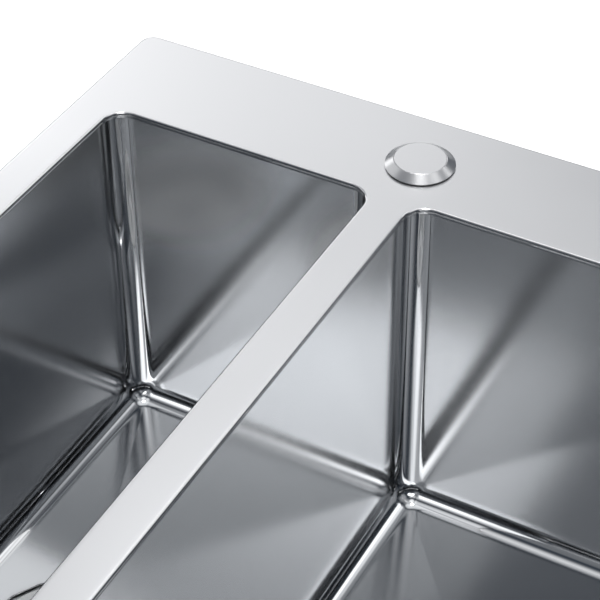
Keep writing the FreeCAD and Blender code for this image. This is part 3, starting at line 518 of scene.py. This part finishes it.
@dataclass
class Deck:
    """The flat steel plate with both mouths, the button hole and the tap hole."""

    finishes: Finishes
    corner_radius: float = 8.0 * MM
    edge_ease: float = 1.3 * MM
    under_ease: float = 1.5 * MM
    flat_margin: float = 1.5 * MM
    hole_gap: float = 0.3 * MM
    bend_span: float = 0.05
    ease_steps: int = 6
    hole_steps: int = 96
    mouths: list[Plan] = field(default_factory=list)

    def build(self) -> bpy.types.Object:
        """Make the plate with eased edges and put it in place of the CAD plate.

        Returns:
            The plate.
        """
        low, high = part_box("deck_plate")
        outer = Plan(low.x, high.x, low.y, high.y, self.corner_radius)
        skin = Skin()
        tops = []
        bottoms = []
        for plan, side in [(outer, 1.0)] + [(mouth, -1.0) for mouth in self.mouths]:
            rings = skin.bands(self.edge(plan, side, low.z, high.z))
            tops.append(rings[0])
            bottoms.append(rings[-1])
        for centre, radius in self.holes():
            rings = skin.bands([
                round_loop(centre, radius, high.z, self.hole_steps),
                round_loop(centre, radius, low.z, self.hole_steps),
            ])
            tops.append(rings[0])
            bottoms.append(rings[-1])
        skin.fill(tops)
        skin.fill(bottoms)
        plate = skin.piece("deck_sheet")
        settle(plate)
        mark_bends(plate, lambda normal: abs(normal.z), self.bend_span)
        plate.data.materials.append(self.finishes.get("deck_steel"))
        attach(plate, "sink")
        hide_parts("deck_plate")
        return plate

    def edge(self, plan: Plan, side: float, low: float, high: float) -> list[Loop]:
        """Loops of one cut edge, eased above and below.

        Args:
            plan: Outline of the edge.
            side: 1 for the outer edge, -1 for the edge of a mouth.
            low: Height of the underside.
            high: Height of the top.

        Returns:
            The loops, downwards.
        """
        margin = (self.edge_ease + self.flat_margin) * side
        loops = [plan.grown(-margin).loop(high)]
        for angle in arc_steps(self.ease_steps):
            inset = self.edge_ease * (1 - math.sin(angle)) * side
            loops.append(plan.grown(-inset).loop(high - self.edge_ease * (1 - math.cos(angle))))
        for angle in arc_steps(self.ease_steps):
            inset = self.under_ease * (1 - math.cos(angle)) * side
            loops.append(plan.grown(-inset).loop(low + self.under_ease * (1 - math.sin(angle))))
        return loops

    def holes(self) -> list[tuple[Vector, float]]:
        """Centre and radius of the button hole and the tap hole."""
        seal_low, seal_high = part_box("button_seal")
        sleeve_low, sleeve_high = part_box("button_sleeve")
        button = (seal_low + seal_high) / 2
        tap = next(mount for mount in frame["record"]["mounts"] if mount["name"] == "tap_hole")
        return [
            (button, (sleeve_high.x - sleeve_low.x) / 2 + self.hole_gap),
            (Vector(tap["pos_m"]), tap["dims"]["r_mm"] * MM),
        ]


@dataclass
class Bowl:
    """One folded steel bowl."""

    finishes: Finishes
    node: str
    waste_node: str
    corner_radius: float = 13.0 * MM
    setback: float = 0.5 * MM
    flange: float = 5.0 * MM
    sheet: float = 1.2 * MM
    bend: float = 0.8 * MM
    floor_radius: float = 12.0 * MM
    depth: float = 220.0 * MM
    fall: float = 4.5 * MM
    recess_depth: float = 5.0 * MM
    recess_radius: float = 58.5 * MM
    waste_hole: float = 45.0 * MM
    recess_bend: float = 1.0 * MM
    bend_span: float = 0.02
    sharp_degrees: float = 40.0
    fillet_steps: int = 24
    wall_rows: int = 8
    floor_rows: int = 10
    bend_steps: int = 4

    def mouth(self) -> Plan:
        """The bowl's mouth in the deck."""
        low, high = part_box(self.node)
        grown = Plan(low.x, high.x, low.y, high.y, self.corner_radius + self.flange + self.setback)
        return grown.grown(-self.flange - self.setback)

    def levels(self) -> tuple[float, float]:
        """Height of the deck's underside and of the floor's edge."""
        deck_low, deck_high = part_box("deck_plate")
        return deck_low.z, deck_high.z - self.depth

    def loops(self) -> list[Loop]:
        """Loops of the bowl's inner face, from the flange's edge to the waste hole."""
        plan = self.mouth().grown(self.setback)
        top, floor = self.levels()
        loops = [plan.grown(self.flange).loop(top), plan.grown(self.bend).loop(top)]
        for angle in arc_steps(self.bend_steps)[1:]:
            out = self.bend * (1 - math.sin(angle))
            loops.append(plan.grown(out).loop(top - self.bend * (1 - math.cos(angle))))
        wall_top = top - self.bend
        wall_low = floor + self.floor_radius
        for row in range(1, self.wall_rows + 1):
            share = row / self.wall_rows
            loops.append(plan.loop(wall_top + (wall_low - wall_top) * share))
        for angle in arc_steps(self.fillet_steps)[1:]:
            inset = self.floor_radius * (1 - math.cos(angle))
            loops.append(plan.grown(-inset).loop(wall_low - self.floor_radius * math.sin(angle)))
        return loops + self.floor_loops(plan.grown(-self.floor_radius), floor)

    def floor_loops(self, plan: Plan, floor: float) -> list[Loop]:
        """Loops of the floor that falls to the waste, and of the recess that takes its lip.

        Args:
            plan: Edge of the floor, inside the fillet.
            floor: Height of that edge.

        Returns:
            The loops, inwards.
        """
        waste_low, waste_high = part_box(self.waste_node)
        centre = (waste_low + waste_high) / 2
        edge = plan.loop(floor)
        rim = circle_like(edge, centre, self.recess_radius + self.recess_bend, floor)
        half_x = (plan.x1 - plan.x0) / 2
        half_y = (plan.y1 - plan.y0) / 2

        def fallen(point: Vector) -> Vector:
            """Point lowered on to the falling floor."""
            share = max(abs(point.x - centre.x) / half_x, abs(point.y - centre.y) / half_y)
            return Vector((point.x, point.y, floor - self.fall * (1 - share)))

        loops = []
        for row in range(1, self.floor_rows + 1):
            share = row / self.floor_rows
            loops.append([fallen(a.lerp(b, share)) for a, b in zip(edge, rim)])
        rim_z = [point.z for point in loops[-1]]
        seat = floor - self.recess_depth
        for angle in arc_steps(self.bend_steps)[1:]:
            radius = self.recess_radius + self.recess_bend * (1 - math.sin(angle))
            drop = self.recess_bend * (1 - math.cos(angle))
            ring = circle_like(edge, centre, radius, floor)
            loops.append([Vector((p.x, p.y, z - drop)) for p, z in zip(ring, rim_z)])
        loops.append(circle_like(edge, centre, self.recess_radius, seat))
        loops.append(circle_like(edge, centre, self.waste_hole, seat))
        return loops

    def build(self, openings: Sequence[bpy.types.Object] = ()) -> bpy.types.Object:
        """Make the bowl's sheet and put it in place of the CAD bowl.

        Args:
            openings: Cutters for holes in the walls.

        Returns:
            The bowl.
        """
        skin = Skin()
        skin.bands(self.loops())
        shell = skin.piece(self.node + "_shell")
        self.face_inwards(shell)
        wall = shell.modifiers.new("sheet", "SOLIDIFY")
        wall.thickness = self.sheet
        wall.offset = -1.0
        wall.use_even_offset = True
        bake_modifiers(shell)
        for cutter in openings:
            cut = shell.modifiers.new("opening", "BOOLEAN")
            cut.object = cutter
            cut.solver = "EXACT"
            bake_modifiers(shell)
            bpy.data.objects.remove(cutter)
        settle(shell, self.sharp_degrees)
        mark_bends(shell, lambda normal: max(map(abs, normal)), self.bend_span)
        shell.data.materials.clear()
        shell.data.materials.append(self.finishes.get("bowl_steel"))
        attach(shell, "sink")
        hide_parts(self.node)
        return shell

    def face_inwards(self, shell: bpy.types.Object) -> None:
        """Turn the single skin so that its faces look into the bowl."""
        middle = self.mouth().middle()
        wall = max(shell.data.polygons, key=lambda face: face.area)
        towards = Vector((middle.x, middle.y, wall.center.z)) - wall.center
        if wall.normal.dot(towards) < 0:
            shell.data.flip_normals()


def overflow_cutter(steps: int = 64, radius: float = 19.0 * MM, reach: float = 6.0 * MM) -> bpy.types.Object:
    """Bar that cuts the overflow hole in the main bowl's rear wall.

    Args:
        steps: Points around it.
        radius: Its radius.
        reach: Half its length.

    Returns:
        The bar.
    """
    low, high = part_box("overflow_seal")
    middle = (low + high) / 2
    skin = Skin()
    loops = []
    for y in (middle.y - reach, middle.y + reach):
        loop = []
        for step in range(steps):
            angle = 2 * math.pi * step / steps
            loop.append(Vector((middle.x + radius * math.cos(angle), y, middle.z + radius * math.sin(angle))))
        loops.append(loop)
    rings = skin.bands(loops)
    for points in rings:
        skin.cap(points)
    return skin.piece("overflow_cutter")


@dataclass
class Button:
    """The flat button and its bevelled ring."""

    finishes: Finishes
    steps: int = 192
    groove: float = 0.35 * MM
    side_height: float = 0.8 * MM
    sleeve_wall: float = 2.1 * MM
    pocket_depth: float = 1.8 * MM
    edge: float = 0.25 * MM
    show_gap: float = 0.06 * MM
    cap_top: float = 2.2 * MM
    cap_wall: float = 1.6 * MM
    edge_steps: int = 4
    sharp_degrees: float = 30.0

    def build(self) -> list[bpy.types.Object]:
        """Make the ring and the button and put them in place of the CAD ones.

        Returns:
            Both pieces.
        """
        return [self.ring(), self.face()]

    def eased(self, radius: float, z: float, start: float, end: float) -> list[tuple[float, float]]:
        """Points of a small rounded edge.

        Args:
            radius: Radius of the rounding's centre line.
            z: Height of that centre line.
            start: Angle of its first point, in degrees from outwards.
            end: Angle of its last point.

        Returns:
            Radius and height of each point.
        """
        points = []
        for step in range(self.edge_steps + 1):
            angle = math.radians(start + (end - start) * step / self.edge_steps)
            points.append((radius + self.edge * math.cos(angle), z + self.edge * math.sin(angle)))
        return points

    def ring(self) -> bpy.types.Object:
        """The bevelled ring, with a fine groove around its side."""
        low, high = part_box("button_bezel")
        face_low, face_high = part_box("button_cap")
        centre = (low + high) / 2
        outer = (high.x - low.x) / 2
        inner = (face_high.x - face_low.x) / 2 + self.show_gap
        pocket = inner + self.sleeve_wall
        side_top = low.z + self.side_height
        middle = low.z + self.side_height / 2
        slope = math.degrees(math.atan2(high.z - side_top, outer - inner))
        profile = [
            (pocket, low.z),
            (outer - self.groove, low.z),
            (outer, low.z + self.groove),
            (outer, middle),
            (outer - self.groove, middle + self.groove / 4),
            (outer - self.groove, side_top - self.groove),
            *self.eased(outer - self.edge, side_top - self.edge, 0, 90 - slope),
            *self.eased(inner + self.edge, high.z - self.edge, 90 - slope, 180),
            (inner, low.z + self.pocket_depth),
            (pocket, low.z + self.pocket_depth),
        ]
        return self.dressed(lathe("button_ring", centre, profile, self.steps), "button_bezel", "sink")

    def face(self) -> bpy.types.Object:
        """The flat button with its skirt."""
        low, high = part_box("button_cap")
        centre = (low + high) / 2
        radius = (high.x - low.x) / 2
        inner = radius - self.cap_wall
        under = high.z - self.cap_top
        profile = [
            (inner / 2, under),
            (inner, under),
            (inner, low.z),
            (radius, low.z),
            *self.eased(radius - self.edge, high.z - self.edge, 0, 90),
            (radius / 2, high.z),
        ]
        piece = lathe("button_face", centre, profile, self.steps, closed=False)
        return self.dressed(piece, "button_cap", "button")

    def dressed(self, piece: bpy.types.Object, node: str, body: str) -> bpy.types.Object:
        """Shade a piece, give it its finish and put it in place of its CAD node.

        Args:
            piece: The piece.
            node: The node that it replaces.
            body: The body that it rides on.

        Returns:
            The same piece.
        """
        settle(piece, self.sharp_degrees)
        slot = "button_steel" if node == "button_bezel" else "deck_steel"
        piece.data.materials.append(self.finishes.get(slot))
        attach(piece, body)
        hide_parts(node)
        return piece


class Pattern:
    """Geometry-node tree for shapes that repeat or follow a path."""

    def __init__(self, name: str) -> None:
        """Make the tree with its geometry input and output."""
        self.tree = bpy.data.node_groups.new(name, "GeometryNodeTree")
        for way in ("INPUT", "OUTPUT"):
            self.tree.interface.new_socket("Geometry", in_out=way, socket_type="NodeSocketGeometry")
        self.start = self.tree.nodes.new("NodeGroupInput")
        self.end = self.tree.nodes.new("NodeGroupOutput")
        self.values: dict[str, float] = {}

    def number(self, name: str, value: float) -> bpy.types.NodeSocket:
        """Add a named input with its value, and give its socket inside the tree."""
        item = self.tree.interface.new_socket(name, in_out="INPUT", socket_type="NodeSocketFloat")
        self.values[item.identifier] = value
        return self.start.outputs[name]

    def add(self, kind: str, inputs: dict[str, object], **settings: object) -> bpy.types.Node:
        """Add one node.

        Args:
            kind: The node's class name in Blender.
            inputs: For each input a socket to link or a value to set.
            settings: Attributes to set on it.

        Returns:
            The new node.
        """
        node = self.tree.nodes.new(kind)
        for key, value in settings.items():
            setattr(node, key, value)
        for name, value in inputs.items():
            if isinstance(value, bpy.types.NodeSocket):
                self.tree.links.new(value, node.inputs[name])
            else:
                node.inputs[name].default_value = value
        return node

    def points(self) -> bpy.types.NodeSocket:
        """The carrier's geometry."""
        return self.start.outputs["Geometry"]

    def run(self, shape: bpy.types.NodeSocket, carrier: bpy.types.Object, material: bpy.types.Material) -> None:
        """End the tree, run it on a carrier and keep the result as a plain mesh.

        Args:
            shape: The geometry to keep.
            carrier: Object whose mesh gives the places.
            material: The finish of the result.
        """
        real = self.add("GeometryNodeRealizeInstances", {"Geometry": shape})
        done = self.add("GeometryNodeSetMaterial", {"Geometry": real.outputs["Geometry"], "Material": material})
        self.tree.links.new(done.outputs["Geometry"], self.end.inputs["Geometry"])
        modifier = carrier.modifiers.new(self.tree.name, "NODES")
        modifier.node_group = self.tree
        for identifier, value in self.values.items():
            modifier[identifier] = value
        bake_modifiers(carrier)


def carrier_of(name: str, points: Sequence[Vector], ring: bool = False) -> bpy.types.Object:
    """Object that gives a pattern its places.

    Args:
        name: Its name.
        points: The places.
        ring: Whether the places are joined to a closed line.

    Returns:
        The object.
    """
    count = len(points)
    edges = [(index, (index + 1) % count) for index in range(count)] if ring else []
    mesh = bpy.data.meshes.new(name)
    mesh.from_pydata([tuple(point) for point in points], edges, [])
    carrier = bpy.data.objects.new(name, mesh)
    bpy.context.scene.collection.objects.link(carrier)
    return carrier


def group_boxes(node: str) -> list[tuple[Vector, Vector]]:
    """Lowest and highest corner of each solid of a group node."""
    bm = bmesh.new()
    bm.from_mesh(frame["nodes"][node].data)
    bmesh.ops.remove_doubles(bm, verts=bm.verts, dist=ISLAND_GAP)
    left = set(bm.verts)
    boxes = []
    while left:
        island = [left.pop()]
        for vert in island:
            for edge in vert.link_edges:
                other = edge.other_vert(vert)
                if other in left:
                    left.discard(other)
                    island.append(other)
        spots = [vert.co for vert in island]
        low = Vector([min(spot[axis] for spot in spots) for axis in range(3)])
        high = Vector([max(spot[axis] for spot in spots) for axis in range(3)])
        boxes.append((low, high))
    bm.free()
    return sorted(boxes, key=lambda box: tuple(box[0]))


@dataclass
class Thread:
    """Upright spirals of wire: fine screw threads or a spring."""

    finishes: Finishes
    name: str
    slot: str
    radius: float
    pitch: float
    length: float
    ridge: float = 0.12 * MM
    steps: int = 16
    section_steps: int = 4

    def build(self, feet: Sequence[Vector]) -> bpy.types.Object:
        """Wind a ridge up each bar.

        Args:
            feet: Where the thread starts on the axis of each bar.

        Returns:
            All the ridges as one piece.
        """
        pattern = Pattern(self.name)
        pitch = pattern.number("Pitch", self.pitch)
        length = pattern.number("Length", self.length)
        radius = pattern.number("Radius", self.radius)
        turns = pattern.add("ShaderNodeMath", {}, operation="DIVIDE")
        pattern.tree.links.new(length, turns.inputs[0])
        pattern.tree.links.new(pitch, turns.inputs[1])
        spiral = pattern.add("GeometryNodeCurveSpiral", {
            "Resolution": self.steps, "Rotations": turns.outputs["Value"],
            "Start Radius": radius, "End Radius": radius, "Height": length,
        })
        section = pattern.add("GeometryNodeCurvePrimitiveCircle", {
            "Resolution": self.section_steps, "Radius": pattern.number("Ridge", self.ridge),
        })
        wire = pattern.add("GeometryNodeCurveToMesh", {
            "Curve": spiral.outputs["Curve"], "Profile Curve": section.outputs["Curve"], "Fill Caps": True,
        })
        placed = pattern.add("GeometryNodeInstanceOnPoints", {
            "Points": pattern.points(), "Instance": wire.outputs["Mesh"],
        })
        piece = carrier_of(self.name, feet)
        pattern.run(placed.outputs["Instances"], piece, self.finishes.get(self.slot))
        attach(piece, "sink")
        return piece


@dataclass
class PadRelief:
    """Raised hexagons on the rubber pads."""

    finishes: Finishes
    pitch: float = 12.0 * MM
    stud_radius: float = 5.2 * MM
    stud_top: float = 4.4 * MM
    stud_height: float = 0.6 * MM
    margin: float = 7.0 * MM
    sides: int = 6

    def build(self, node: str) -> bpy.types.Object:
        """Put the relief on every pad of a group.

        Args:
            node: The group node.

        Returns:
            The relief as one piece.
        """
        middle = (Vector(CAD_BOX[0]) + Vector(CAD_BOX[1])) / 2
        spots: list[Vector] = []
        turns: list[float] = []
        for low, high in group_boxes(node):
            size = high - low
            axis = 0 if size.x < size.y else 1
            along = 1 - axis
            side = 1.0 if (low[axis] + high[axis]) / 2 > middle[axis] else -1.0
            face = high[axis] if side > 0 else low[axis]
            rows = int((size.z - 2 * self.margin) / self.pitch)
            columns = int((size[along] - 2 * self.margin) / self.pitch)
            for row in range(rows + 1):
                for column in range(columns + 1):
                    spot = (low + high) / 2
                    spot[axis] = face
                    spot[along] += (column - columns / 2) * self.pitch
                    spot.z += (row - rows / 2) * self.pitch
                    spots.append(spot)
                    turn = (math.pi / 2 * -side, 0.0, 0.0) if axis == 1 else (0.0, math.pi / 2 * side, 0.0)
                    turns.extend(turn)
        piece = carrier_of(node + "_relief", spots)
        piece.data.attributes.new("turn", "FLOAT_VECTOR", "POINT").data.foreach_set("vector", turns)
        pattern = Pattern(node + "_relief")
        stud = pattern.add("GeometryNodeMeshCone", {
            "Vertices": self.sides, "Radius Top": pattern.number("Top radius", self.stud_top),
            "Radius Bottom": pattern.number("Foot radius", self.stud_radius),
            "Depth": pattern.number("Height", self.stud_height),
        })
        turn = pattern.add("GeometryNodeInputNamedAttribute", {"Name": "turn"}, data_type="FLOAT_VECTOR")
        euler = pattern.add("FunctionNodeEulerToRotation", {"Euler": turn.outputs["Attribute"]})
        placed = pattern.add("GeometryNodeInstanceOnPoints", {
            "Points": pattern.points(), "Instance": stud.outputs["Mesh"], "Rotation": euler.outputs["Rotation"],
        })
        pattern.run(placed.outputs["Instances"], piece, self.finishes.get("pad_rubber"))
        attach(piece, "sink")
        return piece


@dataclass
class SpotWelds:
    """Row of flat spot welds that hold a bowl's flange to the deck."""

    finishes: Finishes
    pitch: float = 18.0 * MM
    radius: float = 1.5 * MM
    rise: float = 0.3 * MM
    segments: int = 16
    rings: int = 8

    def build(self, bowl: Bowl) -> bpy.types.Object:
        """Set the welds along the middle of a flange.

        Args:
            bowl: The bowl.

        Returns:
            The welds as one piece.
        """
        top, _ = bowl.levels()
        line = bowl.mouth().grown(bowl.setback + (bowl.sheet + bowl.flange) / 2).loop(top - bowl.sheet)
        piece = carrier_of(bowl.node + "_welds", line, ring=True)
        pattern = Pattern(bowl.node + "_welds")
        curve = pattern.add("GeometryNodeMeshToCurve", {"Mesh": pattern.points()})
        row = pattern.add("GeometryNodeResampleCurve", {
            "Curve": curve.outputs["Curve"], "Length": pattern.number("Pitch", self.pitch),
        }, mode="LENGTH")
        weld = pattern.add("GeometryNodeMeshUVSphere", {
            "Segments": self.segments, "Rings": self.rings, "Radius": pattern.number("Radius", self.radius),
        })
        placed = pattern.add("GeometryNodeInstanceOnPoints", {
            "Points": row.outputs["Curve"], "Instance": weld.outputs["Mesh"],
            "Scale": (1.0, 1.0, self.rise / self.radius),
        })
        pattern.run(placed.outputs["Instances"], piece, self.finishes.get("bowl_steel"))
        piece.data.shade_smooth()
        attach(piece, "sink")
        return piece


def stud_thread(finishes: Finishes) -> bpy.types.Object:
    """Thread on the lower half of every clamp stud."""
    boxes = group_boxes("clamp_studs")
    lead = 0.6 * MM
    pitch = 0.8 * MM
    feet = []
    for low, high in boxes:
        feet.append(Vector(((low.x + high.x) / 2, (low.y + high.y) / 2, low.z + lead)))
    low, high = boxes[0]
    thread = Thread(finishes, "stud_threads", "clamp_zinc", (high.x - low.x) / 2, pitch, (high.z - low.z) / 2)
    return thread.build(feet)


def sleeve_thread(finishes: Finishes) -> bpy.types.Object:
    """Thread on the button's sleeve, below its nut."""
    low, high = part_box("button_sleeve")
    nut_low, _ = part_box("button_back_nut")
    lead = 1.0 * MM
    pitch = 2.0 * MM
    middle = (low + high) / 2
    thread = Thread(finishes, "sleeve_thread", "lever_brass", (high.x - low.x) / 2, pitch,
                    nut_low.z - low.z - 2 * lead, steps=ROUND_STEPS)
    return thread.build([Vector((middle.x, middle.y, low.z + lead))])


def button_coil(finishes: Finishes) -> bpy.types.Object:
    """Spring under the button, wound at its rest length; the real spring shortens as the button is pressed."""
    low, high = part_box("button_spring")
    middle = (low + high) / 2
    wire = 0.8 * MM
    turns = 4
    length = high.z - low.z - 2 * wire
    coil = Thread(finishes, "button_coil", "spring_steel", (high.x - low.x) / 2 - wire, length / turns, length,
                  ridge=wire, steps=ROUND_STEPS, section_steps=12)
    piece = coil.build([Vector((middle.x, middle.y, low.z + wire))])
    piece.data.shade_smooth()
    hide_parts("button_spring")
    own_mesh(piece)
    return piece


@dataclass(frozen=True)
class Glow:
    """One soft patch of light in the surroundings, placed by angles in degrees."""

    azimuth: float
    elevation: float
    reach: float
    strength: float

    def towards(self) -> Vector:
        """Direction of the patch's middle; the azimuth turns from the rear to the right."""
        az = math.radians(self.azimuth)
        el = math.radians(self.elevation)
        return Vector((math.sin(az) * math.cos(el), math.cos(az) * math.cos(el), math.sin(el)))


@dataclass
class Studio:
    """Floor, soft light and camera; the light was fitted to the brightness of the photograph."""

    ambient: tuple[float, float, float] = (0.048, 0.058, 0.074)
    floor_size: float = 30.0
    floor_gap: float = 1.0 * MM
    floor_colour: tuple[float, float, float] = (0.9, 0.9, 0.9)
    floor_glow: float = 0.7
    floor_cloud: float = 2.0
    floor_detail: float = 2.0
    floor_swing: float = 0.01
    floor_roughness: float = 0.9
    backdrop: tuple[float, float, float] = (0.97, 0.97, 0.97)
    focal_length: float = 115.75
    sensor: float = 36.0
    near_clip: float = 0.01
    camera_spot: tuple[float, float, float] = (0.26217, -0.56572, 0.63494)
    azimuth: float = 28.885
    elevation: float = 40.627
    roll: float = -0.508
    glows: tuple[Glow, ...] = (
        Glow(-151, 46, 11, 0.12),
        Glow(-136, 31, 11, 0.45),
        Glow(-90, 34, 26, 0.62),
        Glow(-90, 66, 24, 0.50),
        Glow(-67, 14, 12, 1.84),
        Glow(-44, 31, 11, 2.19),
        Glow(-29, 31, 11, 1.21),
        Glow(-29, 54, 11, 2.32),
        Glow(0, 34, 26, 0.55),
        Glow(0, 66, 24, 0.50),
        Glow(0, 89, 32, 0.40),
        Glow(0, 90, 8, 25.00),
        Glow(14, 54, 11, 0.73),
        Glow(29, 46, 11, 0.74),
        Glow(44, 31, 11, 1.40),
        Glow(44, 54, 11, 0.97),
        Glow(74, 58, 14, 0.75),
        Glow(90, 34, 26, 0.38),
        Glow(90, 66, 24, 0.32),
        Glow(136, 31, 11, 2.35),
        Glow(144, 46, 11, 0.46),
        Glow(150, 70, 14, 0.90),
        Glow(151, 38, 11, 1.53),
        Glow(158, 31, 11, 1.89),
        Glow(166, 46, 11, 0.50),
        Glow(180, 34, 26, 0.17),
    )

    def build(self) -> None:
        """Make all three and choose the view's colours."""
        self.floor()
        self.light()
        self.camera()
        settings = bpy.context.scene.view_settings
        settings.view_transform = "Standard"
        settings.look = "None"

    def floor(self) -> None:
        """Wide pale floor under the part."""
        z = CAD_BOX[0][2] - self.floor_gap
        half = self.floor_size / 2
        skin = Skin()
        corners = [Vector((x * half, y * half, z)) for x, y in ((-1, -1), (1, -1), (1, 1), (-1, 1))]
        skin.cap(skin.ring(corners))
        plane = skin.piece("floor")
        material, nodes, shader = new_material("floor_pale")
        cloud = nodes.noise(Grain.NONE.value, self.floor_cloud, self.floor_detail)
        nodes.link(nodes.tint(cloud, self.floor_colour, self.floor_swing), shader.inputs["Base Color"])
        shader.inputs["Roughness"].default_value = self.floor_roughness
        shader.inputs["Emission Color"].default_value = (1.0, 1.0, 1.0, 1.0)
        seen = nodes.add("ShaderNodeMath", operation="MULTIPLY")
        seen.inputs[1].default_value = self.floor_glow
        nodes.link(nodes.add("ShaderNodeLightPath").outputs["Is Camera Ray"], seen.inputs[0])
        nodes.link(seen.outputs["Value"], shader.inputs["Emission Strength"])
        plane.data.materials.append(material)

    def light(self) -> None:
        """Soft surroundings: an even grey with a few wide bright patches."""
        world = bpy.data.worlds.new("studio")
        bpy.context.scene.world = world
        world.use_nodes = True
        nodes = Nodes(world.node_tree)
        output = nodes.add("ShaderNodeOutputWorld")
        background = nodes.add("ShaderNodeBackground")
        nodes.link(background.outputs["Background"], output.inputs["Surface"])
        place = nodes.add("ShaderNodeTexCoord")
        total = nodes.add("ShaderNodeCombineXYZ", label="ambient").outputs["Vector"]
        for axis, part in zip("XYZ", self.ambient):
            total.node.inputs[axis].default_value = part
        for glow in self.glows:
            dot = nodes.add("ShaderNodeVectorMath", operation="DOT_PRODUCT")
            nodes.link(place.outputs["Generated"], dot.inputs[0])
            dot.inputs[1].default_value = glow.towards()
            fade = nodes.add("ShaderNodeMapRange", interpolation_type="SMOOTHSTEP")
            fade.inputs["From Min"].default_value = math.cos(math.radians(glow.reach))
            fade.inputs["From Max"].default_value = 1.0
            fade.inputs["To Min"].default_value = 0.0
            fade.inputs["To Max"].default_value = glow.strength
            nodes.link(dot.outputs["Value"], fade.inputs["Value"])
            plus = nodes.add("ShaderNodeVectorMath", operation="ADD")
            nodes.link(total, plus.inputs[0])
            nodes.link(fade.outputs["Result"], plus.inputs[1])
            total = plus.outputs["Vector"]
        backdrop = nodes.add("ShaderNodeMixRGB")
        backdrop.inputs["Color2"].default_value = (*self.backdrop, 1.0)
        nodes.link(nodes.add("ShaderNodeLightPath").outputs["Is Camera Ray"], backdrop.inputs["Fac"])
        nodes.link(total, backdrop.inputs["Color1"])
        nodes.link(backdrop.outputs["Color"], background.inputs["Color"])

    def camera(self) -> None:
        """Camera at the photograph's place."""
        data = bpy.data.cameras.new("camera")
        data.lens = self.focal_length
        data.sensor_width = self.sensor
        data.clip_start = self.near_clip
        eye = bpy.data.objects.new("camera", data)
        bpy.context.scene.collection.objects.link(eye)
        az = math.radians(self.azimuth)
        el = math.radians(self.elevation)
        roll = math.radians(self.roll)
        back = Vector((math.sin(az) * math.cos(el), -math.cos(az) * math.cos(el), math.sin(el)))
        right = Vector((math.cos(az), math.sin(az), 0))
        up = back.cross(right)
        side = right * math.cos(roll) + up * math.sin(roll)
        over = up * math.cos(roll) - right * math.sin(roll)
        turn = Matrix((side, over, back)).transposed().to_4x4()
        eye.matrix_world = Matrix.Translation(Vector(self.camera_spot)) @ turn
        bpy.context.scene.camera = eye


def main() -> None:
    """Build the sink's visible pieces, then the studio."""
    logging.basicConfig(level=logging.INFO, format="%(name)s: %(message)s")
    finishes = Finishes()
    finishes.dress_cad_nodes()
    half = Bowl(finishes, "half_bowl", "half_waste_flange")
    main_bowl = Bowl(finishes, "main_bowl", "main_waste_flange")
    deck = Deck(finishes, mouths=[half.mouth(), main_bowl.mouth()])
    makers: list[Callable[[], bpy.types.Object]] = [
        deck.build,
        half.build,
        lambda: main_bowl.build([overflow_cutter()]),
    ]
    relief = PadRelief(finishes)
    welds = SpotWelds(finishes)
    makers += [
        lambda: relief.build("half_sound_pads"),
        lambda: relief.build("main_sound_pads"),
        lambda: welds.build(half),
        lambda: welds.build(main_bowl),
        lambda: stud_thread(finishes),
        lambda: sleeve_thread(finishes),
        lambda: button_coil(finishes),
    ]
    pieces = [make() for make in makers] + Button(finishes).build()
    for piece in pieces:
        log.info("%s: %d faces", piece.name, len(piece.data.polygons))
    Studio().build()


if __name__ == "__main__":
    main()
